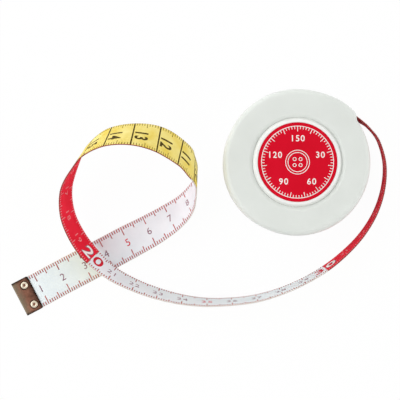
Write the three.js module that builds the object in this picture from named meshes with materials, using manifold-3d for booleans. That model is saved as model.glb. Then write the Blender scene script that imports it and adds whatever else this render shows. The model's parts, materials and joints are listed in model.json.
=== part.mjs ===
// Spring-return sewing tape measure: a round two-part case with a push button, a spool with its spring and
// brake inside, and a printed tape that is pulled out and lies in a loop on the table.
// Millimetres, +Z up. The case lies on z = 0 with its axis on the Z axis, and the button faces up.
import * as THREE from 'three';
import { mergeVertices } from 'three/addons/utils/BufferGeometryUtils.js';
import Module from 'manifold-3d';

// Clearances
const RUNNING_GAP = 0.3;
const SEAT_GAP = 0.1;
const SEAM_GAP = 0.2;

// Tape
const TAPE_WIDTH = 14;
const TAPE_THICKNESS = 0.4;
const TAPE_LENGTH = 1500;
const WINDING_PITCH = 0.84;

// Case
const CASE_DIAMETER = 57;
const CASE_WALL = 1.6;
const CASE_EDGE_RADIUS = 2.2;
const RIB_HEIGHT = 1.1;
const RIB_WIDTH = 1.2;
const TONGUE_HEIGHT = 1.2;
const TONGUE_WIDTH = 0.7;

// Mouth: the tongue and the lip are the two ends of the wall, between which the tape comes out
const TONGUE_ANGLE = 30;
const LIP_FOOT_ANGLE = 35;
const LIP_ANGLE = 40;
const CHANNEL_END_ANGLE = 70;
const LIP_BLEND_ANGLE = 80;
const LIP_RISE = 1.3;
const LEAD_RISE = 2.3;
const LEAD_TURN = 200;
const LEAD_SPACE = 3.6;

// Spool
const WEB_THICKNESS = 0.8;
const FLANGE_GAP = 0.7;
const DRUM_WALL = 2;
const BOSS_RADIUS = 5;
const PIN_RADIUS = 0.6;
const COVER_THICKNESS = 0.8;
const COVER_HOLE_GAP = 0.7;
const SPIGOT_HEIGHT = 0.8;
const SPIGOT_WIDTH = 0.8;

// Power spring
const STRIP_THICKNESS = 0.3;
const STRIP_WIDTH = 7.6;
const STRIP_PITCH = 1.08;
const STRIP_TAB = 1.5;

// Arbor and its screw
const SHOULDER_OVERHANG = 1.2;
const SHOULDER_THICKNESS = 0.6;
const POST_RADIUS = 3.5;
const POST_HEIGHT = 8.9;
const SPRING_WELL_DEPTH = 5.2;
const SCREW_RADIUS = 1.1;
const SCREW_HEAD_RADIUS = 2.3;
const SCREW_HEAD_HEIGHT = 1;
const SCREW_RECESS = 0.25;
const SCREW_BITE = 3.2;
const DRIVE_WIDTH = 0.6;
const DRIVE_DEPTH = 0.5;

// Button and brake
const BUTTON_RIM = 1.7;
const BUTTON_THICKNESS = 1.7;
const BUTTON_TRAVEL = 1.4;
const BUTTON_EDGE = 0.5;
const BUTTON_BOSS_RADIUS = 4.8;
const LABEL_RADIUS = 15.3;
const LABEL_THICKNESS = 0.3;
const DISH_WIDTH = 1.4;
const DISH_DEPTH = 0.6;
const STEM_RADIUS = 1.9;
const STEM_GUIDE = 1.7;
const STEM_KEY_WIDTH = 0.8;
const STEM_KEY_REACH = 2.9;
const BRAKE_DISC_THICKNESS = 0.8;
const BRAKE_PAD_THICKNESS = 0.9;
const BRAKE_PAD_WIDTH = 1.8;
const RING_THICKNESS = 0.3;
const RING_RADIUS = 3.2;
const RING_GROOVE_DEPTH = 0.4;
const RING_OPENING = 1.4;
const COIL_WIRE_RADIUS = 0.2;
const COIL_RADIUS = 1.55;
const COIL_CURLS = 3;

// Clip and rivets at the end of the tape
const CLIP_LENGTH = 7.4;
const CLIP_WIDTH = 14.4;
const CLIP_SHEET = 0.25;
const CLIP_REACH = 0.6;
const RIVET_SETBACK = 4.7;
const RIVET_SPREAD = 8.6;
const RIVET_SHANK_RADIUS = 0.9;
const RIVET_HOLE_RADIUS = 0.5;
const RIVET_HOLE_DEPTH = 0.9;
const RIVET_HEAD_RADIUS = 1.5;
const RIVET_HEAD_HEIGHT = 0.3;
const RIVET_ROLL_HEIGHT = 0.2;

// Route of the free tape from the clip to the mouth: x and y of its middle, the height of its lower edge, and
// how far it leans, in degrees: 90 lies flat with its front up, 0 stands on edge with its front to the left
const ROUTE = [
  [-110.4, -54.9, 0.8, 90],
  [-102, -50.5, 0.8, 90],
  [-93.3, -45.8, 0.5, 90],
  [-84.5, -41.2, 0.35, 90],
  [-75.6, -36.5, 0.5, 89],
  [-66.7, -31.7, 0.5, 81],
  [-58.2, -27.2, 0.6, 70],
  [-49.7, -22, 0.6, 58],
  [-43.6, -17, 1.3, 41],
  [-39.9, -11.2, 3.7, 19],
  [-38.9, -6.2, 8.4, -4],
  [-40.5, -1.7, 14, -26],
  [-44.5, 3.1, 18.9, -40],
  [-53, 8.2, 23.1, -46],
  [-63.1, 10.2, 23.6, -39],
  [-73.3, 9.2, 20.4, -30],
  [-81.2, 5, 15.2, -15],
  [-86.2, -1.2, 10.5, -2],
  [-90.2, -10.3, 6.4, 10],
  [-90.1, -20, 3.9, 17],
  [-86.6, -28.9, 2.1, 21],
  [-80.8, -36.9, 1.3, 22],
  [-73.1, -43.6, 1, 18],
  [-64.6, -48.2, 0.7, 15],
  [-55.4, -51.7, 0.5, 13],
  [-45.6, -54.2, 0.4, 10.5],
  [-35.6, -55.4, 0.3, 8],
  [-25.7, -55.2, 0.3, 6.5],
  [-15.7, -54, 0.3, 6],
  [-6.1, -51.3, 0.3, 5],
  [3.3, -47.3, 0.3, 4],
  [12.5, -41.9, 0.3, 3.5],
  [20.5, -35.4, 0.3, 2],
  [27.2, -28.1, 0.3, 0],
  [32.4, -19.4, 0.5, -2],
  [35.3, -9.8, 1, -4],
  [35.7, -0.1, 1.7, -6],
  [33.1, 8.8, 2.5, -7],
  [29.3, 13.8, 2.8, -7],
  [26.1, 16.3, 2.9, -4],
  [22.6, 18.4, 3, 0],
];

// Facets
const CASE_STEPS = 72;
const ROUND_STEPS = 36;
const SMALL_STEPS = 12;
const EDGE_STEPS = 3;
const LOOP_STEPS = 20;
const CURL_STEPS = 8;
const WIRE_SIDES = 5;
const ROUTE_STEPS = 80;
const ROUTE_TENSION = 0.5;
const FOLD_STEPS = 6;
const WELD_TOLERANCE = 1e-4;
const OVERCUT = 1;

// Heights, from the table up
const webBottom = CASE_WALL + RUNNING_GAP;
const webTop = webBottom + WEB_THICKNESS;
const tapeBottom = webTop + RUNNING_GAP;
const tapeTop = tapeBottom + TAPE_WIDTH;
const ceiling = tapeTop + RUNNING_GAP + RIB_HEIGHT;
const caseHeight = ceiling + CASE_WALL;
const seamHeight = caseHeight / 2;
const coverBottom = tapeTop - COVER_THICKNESS;
const drumTop = coverBottom - SEAT_GAP;
const bossTop = webTop + RUNNING_GAP;
const arborBottom = bossTop + SEAT_GAP;
const shoulderTop = arborBottom + SHOULDER_THICKNESS;
const arborTop = arborBottom + POST_HEIGHT;
const wellFloor = arborTop - SPRING_WELL_DEPTH;
const stripBottom = shoulderTop + RUNNING_GAP;
const padTop = coverBottom - SEAT_GAP;
const padBottom = padTop - BRAKE_PAD_THICKNESS;
const discTop = padBottom - SEAT_GAP;
const discBottom = discTop - BRAKE_DISC_THICKNESS;
const ringTop = discBottom - SEAT_GAP;
const ringBottom = ringTop - RING_THICKNESS;
const buttonBottom = tapeTop + RUNNING_GAP + BUTTON_TRAVEL + SEAT_GAP * 2;
const buttonTop = buttonBottom + BUTTON_THICKNESS;
const stemBottom = arborTop - STEM_GUIDE;
const clipFloor = RIVET_ROLL_HEIGHT + SEAT_GAP / 2;
const clipRoof = clipFloor + CLIP_SHEET * 2 + SEAT_GAP * 2 + TAPE_THICKNESS;
const screwHeadTop = SCREW_RECESS + SCREW_HEAD_HEIGHT;

// Radii, from the wall in
const caseRadius = CASE_DIAMETER / 2;
const caseInner = caseRadius - CASE_WALL;
const flangeRadius = caseInner - FLANGE_GAP;
const leadOuter = caseInner - RUNNING_GAP - TAPE_THICKNESS / 2;
const windingOuter = caseInner - LEAD_SPACE;
const leadInner = windingOuter + RUNNING_GAP + TAPE_THICKNESS;
const buttonRadius = LABEL_RADIUS + BUTTON_RIM;
const openingRadius = buttonRadius + RUNNING_GAP;
const coverHole = BUTTON_BOSS_RADIUS + COVER_HOLE_GAP;
const webBore = BOSS_RADIUS + RUNNING_GAP;
const shoulderRadius = webBore + SHOULDER_OVERHANG;
const tabSlotWidth = STRIP_THICKNESS + RUNNING_GAP * 2;

const radians = THREE.MathUtils.degToRad;

// Solids: weld a geometry, turn it the right way out, and join or cut it
const wasm = await Module();
wasm.setup();

function weld(geometry) {
  const bare = new THREE.BufferGeometry();
  bare.setAttribute('position', geometry.getAttribute('position'));
  bare.setIndex(geometry.index);
  const merged = mergeVertices(bare, WELD_TOLERANCE);
  const corners = merged.index.array;
  const kept = [];
  for (let i = 0; i < corners.length; i += 3) {
    const [a, b, c] = corners.slice(i, i + 3);
    if (a !== b && b !== c && c !== a) kept.push(a, b, c);
  }
  merged.setIndex(signedVolume(merged, kept) < 0 ? kept.reverse() : kept);
  return merged;
}

function signedVolume(geometry, corners) {
  const position = geometry.getAttribute('position');
  const [a, b, c] = [new THREE.Vector3(), new THREE.Vector3(), new THREE.Vector3()];
  let sum = 0;
  for (let i = 0; i < corners.length; i += 3) {
    a.fromBufferAttribute(position, corners[i]);
    b.fromBufferAttribute(position, corners[i + 1]);
    c.fromBufferAttribute(position, corners[i + 2]);
    sum += a.dot(b.cross(c)) / 6;
  }
  return sum;
}

function solid(geometry) {
  const welded = weld(geometry);
  return new wasm.Manifold(new wasm.Mesh({
    numProp: 3,
    vertProperties: Float32Array.from(welded.getAttribute('position').array),
    triVerts: Uint32Array.from(welded.index.array),
  }));
}

function geometryOf(body) {
  const mesh = body.getMesh();
  const geometry = new THREE.BufferGeometry();
  geometry.setAttribute('position', new THREE.BufferAttribute(mesh.vertProperties, 3));
  geometry.setIndex(new THREE.BufferAttribute(mesh.triVerts, 1));
  return geometry;
}

// A profile of [radius, height] points, closed on itself, turned about the Z axis
function turned(profile, steps) {
  const points = [...profile, profile[0]].map(([radius, height]) => new THREE.Vector2(radius, height));
  return new THREE.LatheGeometry(points, steps).rotateX(Math.PI / 2);
}

function ring(inner, outer, bottom, top, steps) {
  return turned([[inner, bottom], [outer, bottom], [outer, top], [inner, top]], steps);
}

function rod(radius, bottom, top, steps) {
  return turned([[0, bottom], [radius, bottom], [radius, top], [0, top]], steps);
}

function block(lengthX, lengthY, bottom, top, x = 0, y = 0) {
  return new THREE.BoxGeometry(lengthX, lengthY, top - bottom).translate(x, y, (bottom + top) / 2);
}

function polar(radius, degrees, height = 0) {
  return new THREE.Vector3(radius * Math.cos(radians(degrees)), radius * Math.sin(radians(degrees)), height);
}

// Closed rings of points, skinned one to the next and capped at both ends
function loft(rings) {
  const sides = rings[0].length;
  const corners = [];
  for (let i = 0; i + 1 < rings.length; i++) {
    for (let j = 0; j < sides; j++) {
      const [a, b] = [i * sides + j, i * sides + ((j + 1) % sides)];
      corners.push(a, b, b + sides, a, b + sides, a + sides);
    }
  }
  const last = (rings.length - 1) * sides;
  for (let j = 1; j + 1 < sides; j++) {
    corners.push(0, j + 1, j, last, last + j, last + j + 1);
  }
  const geometry = new THREE.BufferGeometry().setFromPoints(rings.flat());
  geometry.setIndex(corners);
  return geometry;
}

// The four corners of a strip: its middle, the way its width runs and the way its front faces
function stripCorners(middle, across, front, width, thickness) {
  const halfAcross = across.clone().multiplyScalar(width / 2);
  const halfFront = front.clone().multiplyScalar(thickness / 2);
  const corner = (w, t) => middle.clone().addScaledVector(halfAcross, w).addScaledVector(halfFront, t);
  return [corner(-1, -1), corner(1, -1), corner(1, 1), corner(-1, 1)];
}

// An upright strip that follows a radius and an angle from one end to the other. A part step, if any, comes
// last, so the loops of a wound strip line up
function uprightStrip(radiusAt, angleAt, steps, bottom, width, thickness) {
  const up = new THREE.Vector3(0, 0, 1);
  const rings = [];
  for (let i = 0; i < steps + 1; i++) {
    const share = Math.min(i / steps, 1);
    const outward = polar(1, angleAt(share));
    const middle = outward.clone().multiplyScalar(radiusAt(share)).setZ(bottom + width / 2);
    rings.push(stripCorners(middle, up, outward, width, thickness));
  }
  return rings;
}

function middleOf(corners) {
  return corners.reduce((sum, p) => sum.add(p), new THREE.Vector3()).divideScalar(corners.length);
}

// Least gap of a wound strip or wire to itself, from its points to its stretches half a loop or more away
function leastGap(rings, loopSteps, thickness) {
  const middles = rings.map(middleOf);
  const nearest = new THREE.Vector3();
  let least = Infinity;
  for (let i = 0; i < middles.length; i++) {
    for (let j = i + loopSteps / 2; j + 1 < middles.length; j++) {
      new THREE.Line3(middles[j], middles[j + 1]).closestPointToPoint(middles[i], true, nearest);
      least = Math.min(least, nearest.distanceTo(middles[i]));
    }
  }
  return least - thickness;
}

// Case

// Outside of the case: round, but with the lip of the mouth standing proud
function outerRadius(degrees) {
  if (degrees < LIP_FOOT_ANGLE || degrees > LIP_BLEND_ANGLE) return caseRadius;
  const rise = degrees <= LIP_ANGLE
    ? (degrees - LIP_FOOT_ANGLE) / (LIP_ANGLE - LIP_FOOT_ANGLE)
    : THREE.MathUtils.smoothstep(-degrees, -LIP_BLEND_ANGLE, -LIP_ANGLE);
  return caseRadius + LIP_RISE * rise;
}

// Radius of the tape between mouth and winding: it comes in along the lip and then closes in on the winding
function leadRadius(degrees) {
  const share = (degrees - LIP_ANGLE) / LEAD_TURN;
  const inChannel = Math.max(0, (CHANNEL_END_ANGLE - degrees) / (CHANNEL_END_ANGLE - LIP_ANGLE));
  return leadOuter + (leadInner - leadOuter) * share + LEAD_RISE * inChannel ** 2;
}

function caseBlank() {
  const flat = caseHeight - CASE_EDGE_RADIUS * 2;
  const points = [];
  const corners = [];
  const turn = 360 / CASE_STEPS;
  const count = EDGE_STEPS * 2 + 4;
  for (let i = 0; i < CASE_STEPS; i++) {
    const radius = outerRadius(i * turn) - CASE_EDGE_RADIUS;
    points.push(polar(0, 0, 0));
    for (let j = 0; j <= EDGE_STEPS * 2 + 1; j++) {
      const upper = j > EDGE_STEPS ? 1 : 0;
      const tilt = (j - upper) / EDGE_STEPS * Math.PI / 2 - Math.PI / 2;
      const height = CASE_EDGE_RADIUS * (1 + Math.sin(tilt)) + upper * flat;
      points.push(polar(radius + CASE_EDGE_RADIUS * Math.cos(tilt), i * turn, height));
    }
    points.push(polar(0, 0, caseHeight));
    const next = ((i + 1) % CASE_STEPS) * count;
    for (let j = 0; j + 1 < count; j++) {
      const here = i * count + j;
      corners.push(here, next + j, next + j + 1, here, next + j + 1, here + 1);
    }
  }
  const geometry = new THREE.BufferGeometry().setFromPoints(points);
  geometry.setIndex(corners);
  return solid(geometry);
}

// Space that the mouth takes out of the wall: open between tongue and lip, then a channel along the lip
function mouthSpace() {
  const outside = caseRadius + LIP_RISE + OVERCUT;
  const inside = caseInner - OVERCUT;
  const step = 360 / CASE_STEPS;
  const outline = [polar(inside, TONGUE_ANGLE), polar(outside, TONGUE_ANGLE), polar(outside, LIP_ANGLE)];
  for (let angle = LIP_ANGLE; angle <= CHANNEL_END_ANGLE; angle += step) {
    outline.push(polar(leadRadius(angle) + TAPE_THICKNESS / 2 + RUNNING_GAP, angle));
  }
  for (let angle = CHANNEL_END_ANGLE; angle > TONGUE_ANGLE; angle -= step) {
    outline.push(polar(inside, angle));
  }
  const shape = new THREE.Shape(outline.map((p) => new THREE.Vector2(p.x, p.y)));
  const depth = TAPE_WIDTH + RUNNING_GAP * 2;
  const space = new THREE.ExtrudeGeometry(shape, { depth, bevelEnabled: false });
  return solid(space.translate(0, 0, tapeBottom - RUNNING_GAP));
}

const blank = caseBlank();
const mouth = mouthSpace();
const cavity = solid(rod(caseInner, CASE_WALL, ceiling, CASE_STEPS));
const wideSide = CASE_DIAMETER * 2;

function rearShell() {
  const above = solid(block(wideSide, wideSide, seamHeight - SEAM_GAP / 2, caseHeight + OVERCUT));
  const tongue = solid(ring(caseInner, caseInner + TONGUE_WIDTH, seamHeight - OVERCUT,
    seamHeight + TONGUE_HEIGHT, CASE_STEPS)).subtract(mouth);
  const boss = solid(rod(BOSS_RADIUS, CASE_WALL / 2, bossTop, ROUND_STEPS));
  const recess = solid(rod(SCREW_HEAD_RADIUS + RUNNING_GAP, -OVERCUT, screwHeadTop + SEAT_GAP, ROUND_STEPS));
  const hole = solid(rod(SCREW_RADIUS + RUNNING_GAP, 0, bossTop + OVERCUT, ROUND_STEPS));
  const shell = blank.subtract(above).subtract(cavity).subtract(mouth);
  return shell.add(tongue).add(boss).subtract(recess).subtract(hole);
}

function frontShell() {
  const below = solid(block(wideSide, wideSide, -OVERCUT, seamHeight + SEAM_GAP / 2));
  const rebate = solid(ring(caseInner - OVERCUT, caseInner + TONGUE_WIDTH + RUNNING_GAP, seamHeight - OVERCUT,
    seamHeight + TONGUE_HEIGHT + RUNNING_GAP, CASE_STEPS));
  const dishRadius = openingRadius + DISH_WIDTH;
  const opening = solid(turned([
    [0, ceiling - OVERCUT],
    [openingRadius, ceiling - OVERCUT],
    [openingRadius, caseHeight - DISH_DEPTH],
    [dishRadius, caseHeight],
    [dishRadius, caseHeight + OVERCUT],
    [0, caseHeight + OVERCUT],
  ], ROUND_STEPS));
  const ribBottom = tapeTop + RUNNING_GAP;
  const ribTop = ceiling + CASE_WALL / 2;
  const ribAt = (inner) => solid(ring(inner, inner + RIB_WIDTH, ribBottom, ribTop, ROUND_STEPS));
  const innerRib = ribAt(openingRadius + RIB_WIDTH / 2);
  const outerRib = ribAt(windingOuter);
  const shell = blank.subtract(below).subtract(cavity).add(innerRib).add(outerRib);
  return shell.subtract(mouth).subtract(rebate).subtract(opening);
}

// Free tape: a smooth curve through the route, with a lean at each point
const halfWidth = TAPE_WIDTH / 2;
const smoothCurve = (points) => new THREE.CatmullRomCurve3(points, false, 'catmullrom', ROUTE_TENSION);
const routeCurve = smoothCurve(ROUTE.map(([x, y, lift, lean]) => (
  new THREE.Vector3(x, y, lift + halfWidth * Math.cos(radians(lean))))));
const leanCurve = smoothCurve(ROUTE.map(([, , , lean]) => new THREE.Vector3(lean, 0, 0)));

function freeTapeRings() {
  const up = new THREE.Vector3(0, 0, 1);
  const rings = [];
  for (let i = 0; i <= ROUTE_STEPS; i++) {
    const share = i / ROUTE_STEPS;
    const heading = routeCurve.getTangent(share);
    const right = heading.clone().cross(up).normalize();
    const upright = right.clone().cross(heading);
    const lean = radians(leanCurve.getPoint(share).x);
    const across = right.multiplyScalar(Math.sin(lean)).addScaledVector(upright, Math.cos(lean));
    const front = across.clone().cross(heading);
    rings.push(stripCorners(routeCurve.getPoint(share), across, front, TAPE_WIDTH, TAPE_THICKNESS));
  }
  return rings;
}

// Clip at the end of the tape, in its own group: x runs along the tape from the clip's outer end
const tapeEnd = routeCurve.getPoint(0);
const endHeading = routeCurve.getTangent(0);
const clipGroup = new THREE.Group();
clipGroup.position.set(tapeEnd.x - CLIP_REACH * endHeading.x, tapeEnd.y - CLIP_REACH * endHeading.y, 0);
clipGroup.rotation.z = Math.atan2(endHeading.y, endHeading.x);
clipGroup.updateMatrixWorld(true);

const rivetHole = RIVET_SHANK_RADIUS + SEAT_GAP;
const rivetSides = [-RIVET_SPREAD / 2, RIVET_SPREAD / 2];

function rivetDrill(side) {
  return rod(rivetHole, -OVERCUT, clipRoof + OVERCUT, SMALL_STEPS).translate(RIVET_SETBACK, side, 0);
}

function freeTape() {
  const strip = solid(loft(freeTapeRings()));
  return rivetSides.reduce((tape, side) => (
    tape.subtract(solid(rivetDrill(side).applyMatrix4(clipGroup.matrixWorld)))), strip);
}

function endClip() {
  const inside = CLIP_SHEET;
  const fold = (clipRoof - clipFloor) / 2;
  const middle = clipFloor + fold;
  const section = new THREE.Shape();
  section.moveTo(CLIP_LENGTH, clipFloor);
  section.lineTo(CLIP_LENGTH, clipFloor + inside);
  section.lineTo(fold, clipFloor + inside);
  section.absarc(fold, middle, fold - inside, -Math.PI / 2, Math.PI / 2, true);
  section.lineTo(CLIP_LENGTH, clipRoof - inside);
  section.lineTo(CLIP_LENGTH, clipRoof);
  section.lineTo(fold, clipRoof);
  section.absarc(fold, middle, fold, Math.PI / 2, -Math.PI / 2, false);
  const sheet = new THREE.ExtrudeGeometry(section, {
    depth: CLIP_WIDTH,
    bevelEnabled: false,
    curveSegments: FOLD_STEPS,
  });
  sheet.rotateX(Math.PI / 2).translate(0, CLIP_WIDTH / 2, 0);
  return rivetSides.reduce((clip, side) => clip.subtract(solid(rivetDrill(side))), solid(sheet));
}

function clipRivet() {
  const headBottom = clipRoof + SEAT_GAP / 2;
  const headTop = headBottom + RIVET_HEAD_HEIGHT;
  return solid(turned([
    [0, 0],
    [RIVET_HEAD_RADIUS, 0],
    [RIVET_HEAD_RADIUS, RIVET_ROLL_HEIGHT],
    [RIVET_SHANK_RADIUS, RIVET_ROLL_HEIGHT],
    [RIVET_SHANK_RADIUS, headBottom],
    [RIVET_HEAD_RADIUS, headBottom],
    [RIVET_HEAD_RADIUS - RIVET_HEAD_HEIGHT, headTop],
    [RIVET_HOLE_RADIUS, headTop],
    [RIVET_HOLE_RADIUS, headTop - RIVET_HOLE_DEPTH],
    [0, headTop - RIVET_HOLE_DEPTH],
  ], SMALL_STEPS));
}

// Tape inside the case
const leadAngle = (share) => LIP_ANGLE + share * LEAD_TURN;
const leadRings = uprightStrip((share) => leadRadius(leadAngle(share)), leadAngle,
  LEAD_TURN / 360 * CASE_STEPS, tapeBottom, TAPE_WIDTH, TAPE_THICKNESS);

function ringsLength(rings) {
  const middles = rings.map(middleOf);
  return middles.slice(1).reduce((sum, middle, i) => sum + middle.distanceTo(middles[i]), 0);
}

// The drum is as large as the wound length leaves room for: seen from above, the winding's middle line sweeps its
// length times its pitch
const woundLength = TAPE_LENGTH - routeCurve.getLength() - ringsLength(leadRings);
const windingEnd = windingOuter - TAPE_THICKNESS / 2;
const windingStart = Math.sqrt(windingEnd ** 2 - woundLength * WINDING_PITCH / Math.PI);
const windingTurns = (windingEnd - windingStart) / WINDING_PITCH;
const drumRadius = windingStart - TAPE_THICKNESS / 2 - SEAT_GAP * 2;
const drumInner = drumRadius - DRUM_WALL;
const windingEndAngle = LIP_ANGLE + LEAD_TURN;
const pinAngle = windingEndAngle + windingTurns * 360;
const windingRings = uprightStrip((share) => windingStart + share * windingTurns * WINDING_PITCH,
  (share) => pinAngle - share * windingTurns * 360, windingTurns * LOOP_STEPS, tapeBottom, TAPE_WIDTH,
  TAPE_THICKNESS);

// Spool
const pinCentre = polar(drumRadius - PIN_RADIUS, pinAngle);
const stripOuter = drumInner - RUNNING_GAP - STRIP_THICKNESS / 2;
const stripInner = POST_RADIUS + RUNNING_GAP + STRIP_THICKNESS / 2;
const stripTurns = Math.floor((stripOuter - stripInner) / STRIP_PITCH);
const stripSlope = (stripOuter - stripInner) / stripTurns;

// The spring's strip, with a tab turned in at the arbor and one turned out at the drum, each past a mitred
// corner
function powerSpringRings() {
  const rings = uprightStrip((share) => stripInner + share * stripTurns * stripSlope,
    (share) => share * stripTurns * 360, stripTurns * LOOP_STEPS, stripBottom, STRIP_WIDTH, STRIP_THICKNESS);
  const up = new THREE.Vector3(0, 0, 1);
  const end = (radius, front, thickness) => stripCorners(
    new THREE.Vector3(radius, 0, stripBottom + STRIP_WIDTH / 2), up, front, STRIP_WIDTH, thickness);
  const tab = (radius) => end(radius, new THREE.Vector3(0, -1, 0), STRIP_THICKNESS);
  const slant = new THREE.Vector3(1, -1, 0).normalize();
  const mitre = (radius) => end(radius, slant, STRIP_THICKNESS * Math.SQRT2);
  const innerEnd = [tab(stripInner - STRIP_TAB), mitre(stripInner)];
  const outerEnd = [mitre(stripOuter), tab(stripOuter + STRIP_TAB)];
  return [...innerEnd, ...rings.slice(1, -1), ...outerEnd];
}

function spoolDrum() {
  const body = solid(turned([
    [webBore, webBottom],
    [flangeRadius, webBottom],
    [flangeRadius, webTop],
    [drumRadius, webTop],
    [drumRadius, drumTop],
    [drumInner, drumTop],
    [drumInner, webTop],
    [webBore, webTop],
  ], ROUND_STEPS));
  const groove = solid(rod(PIN_RADIUS + RUNNING_GAP, webTop + SEAT_GAP, caseHeight, SMALL_STEPS)
    .translate(pinCentre.x, pinCentre.y, 0));
  const slotStart = drumInner - RUNNING_GAP;
  const slotEnd = stripOuter + STRIP_TAB + RUNNING_GAP;
  const tabSlot = solid(block(slotEnd - slotStart, tabSlotWidth, stripBottom - RUNNING_GAP, caseHeight,
    (slotStart + slotEnd) / 2));
  return body.subtract(groove).subtract(tabSlot);
}

function spoolCover() {
  const spigotOuter = drumInner - RUNNING_GAP;
  const spigotInner = spigotOuter - SPIGOT_WIDTH;
  return solid(turned([
    [coverHole, coverBottom],
    [spigotInner, coverBottom],
    [spigotInner, coverBottom - SPIGOT_HEIGHT],
    [spigotOuter, coverBottom - SPIGOT_HEIGHT],
    [spigotOuter, coverBottom],
    [drumRadius, coverBottom],
    [drumRadius, tapeTop],
    [coverHole, tapeTop],
  ], ROUND_STEPS));
}

function anchorPin() {
  const pin = rod(PIN_RADIUS, webTop + RUNNING_GAP, drumTop, SMALL_STEPS);
  return solid(pin.translate(pinCentre.x, pinCentre.y, 0));
}

// Arbor: seated on the boss, slotted for the spring's inner tab and for the key of the button's stem
function springArbor() {
  const bore = STEM_RADIUS + RUNNING_GAP;
  const pilot = SCREW_RADIUS + SEAT_GAP;
  const body = solid(turned([
    [pilot, arborBottom],
    [shoulderRadius, arborBottom],
    [shoulderRadius, shoulderTop],
    [POST_RADIUS, shoulderTop],
    [POST_RADIUS, arborTop],
    [bore, arborTop],
    [bore, wellFloor],
    [pilot, wellFloor],
  ], ROUND_STEPS));
  const tabSlot = solid(block(POST_RADIUS, tabSlotWidth, stripBottom - RUNNING_GAP / 2, arborTop + OVERCUT,
    STEM_RADIUS + POST_RADIUS / 2));
  const keySlot = solid(block(POST_RADIUS, STEM_KEY_WIDTH + RUNNING_GAP * 2,
    stemBottom - BUTTON_TRAVEL - RUNNING_GAP, arborTop + OVERCUT, -STEM_RADIUS - POST_RADIUS / 2));
  return body.subtract(tabSlot).subtract(keySlot);
}

function arborScrew() {
  const body = solid(turned([
    [0, SCREW_RECESS],
    [SCREW_HEAD_RADIUS, SCREW_RECESS],
    [SCREW_HEAD_RADIUS, screwHeadTop],
    [SCREW_RADIUS, screwHeadTop],
    [SCREW_RADIUS, arborBottom + SCREW_BITE],
    [0, arborBottom + SCREW_BITE],
  ], SMALL_STEPS * 2));
  const slot = (x, y) => solid(block(x, y, 0, SCREW_RECESS + DRIVE_DEPTH));
  return body.subtract(slot(SCREW_HEAD_RADIUS, DRIVE_WIDTH)).subtract(slot(DRIVE_WIDTH, SCREW_HEAD_RADIUS));
}

// Button with its boss and stem, and the brake that it carries
const ringGroove = STEM_RADIUS - RING_GROOVE_DEPTH;
const padInner = coverHole + RUNNING_GAP;
const padOuter = padInner + BRAKE_PAD_WIDTH;

// Points of a rounded upper edge, from the side round to the top
function roundedEdge(radius, top, edge) {
  const points = [];
  for (let i = 0; i <= EDGE_STEPS; i++) {
    const tilt = i / EDGE_STEPS * Math.PI / 2;
    points.push([radius - edge * (1 - Math.cos(tilt)), top - edge * (1 - Math.sin(tilt))]);
  }
  return points;
}

function pushButton() {
  const recess = LABEL_RADIUS + SEAT_GAP;
  const recessFloor = buttonTop - LABEL_THICKNESS - SEAT_GAP / 2;
  const body = solid(turned([
    [0, stemBottom],
    [STEM_RADIUS, stemBottom],
    [STEM_RADIUS, ringBottom - SEAT_GAP],
    [ringGroove, ringBottom - SEAT_GAP],
    [ringGroove, ringTop + SEAT_GAP],
    [STEM_RADIUS, ringTop + SEAT_GAP],
    [STEM_RADIUS, padBottom],
    [BUTTON_BOSS_RADIUS, padBottom],
    [BUTTON_BOSS_RADIUS, buttonBottom],
    [buttonRadius, buttonBottom],
    ...roundedEdge(buttonRadius, buttonTop, BUTTON_EDGE),
    [recess, buttonTop],
    [recess, recessFloor],
    [0, recessFloor],
  ], ROUND_STEPS));
  const key = solid(block(STEM_KEY_REACH, STEM_KEY_WIDTH, stemBottom, arborTop, -STEM_KEY_REACH / 2));
  return body.add(key);
}

function retainingRing() {
  const body = solid(ring(ringGroove + SEAT_GAP, RING_RADIUS, ringBottom, ringTop, SMALL_STEPS * 2));
  const opening = block(RING_RADIUS * 2, RING_OPENING, ringBottom - OVERCUT, ringTop + OVERCUT, RING_RADIUS);
  return body.subtract(solid(opening));
}

function buttonLabel() {
  return solid(rod(LABEL_RADIUS, buttonTop - LABEL_THICKNESS, buttonTop, ROUND_STEPS));
}

function brakeDisc() {
  return solid(ring(STEM_RADIUS + SEAT_GAP, padOuter + RUNNING_GAP, discBottom, discTop, ROUND_STEPS));
}

function brakePad() {
  return solid(ring(padInner, padOuter, padBottom, padTop, ROUND_STEPS));
}

function coilRings() {
  const low = wellFloor + SEAT_GAP + COIL_WIRE_RADIUS;
  const high = stemBottom - SEAT_GAP - COIL_WIRE_RADIUS;
  const steps = COIL_CURLS * CURL_STEPS;
  const rings = [];
  for (let i = 0; i <= steps; i++) {
    const angle = i / CURL_STEPS * 360;
    const middle = polar(COIL_RADIUS, angle, low + (high - low) * i / steps);
    const outward = polar(1, angle);
    const wire = [];
    for (let j = 0; j < WIRE_SIDES; j++) {
      const tilt = j / WIRE_SIDES * Math.PI * 2;
      wire.push(middle.clone().addScaledVector(outward, COIL_WIRE_RADIUS * Math.cos(tilt))
        .add(new THREE.Vector3(0, 0, COIL_WIRE_RADIUS * Math.sin(tilt))));
    }
    rings.push(wire);
  }
  return rings;
}

// Finishes
const finish = (color, roughness, metalness = 0) => ({ color, roughness, metalness });
const CASE_WHITE = finish(0xdde2dc, 0.35);
const LABEL_RED = finish(0xd20523, 0.45);
const TAPE_WHITE = finish(0xece4e2, 0.55);
const CLIP_BRONZE = finish(0x6e4b3c, 0.4, 0.9);
const RIVET_NICKEL = finish(0xc8b9a5, 0.3, 1);
const SPOOL_PLASTIC = finish(0xbfc3c4, 0.5);
const SPRING_STEEL = finish(0x8f9499, 0.3, 1);
const PAD_RUBBER = finish(0x2a2a2c, 0.9);

const model = new THREE.Group();

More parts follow.
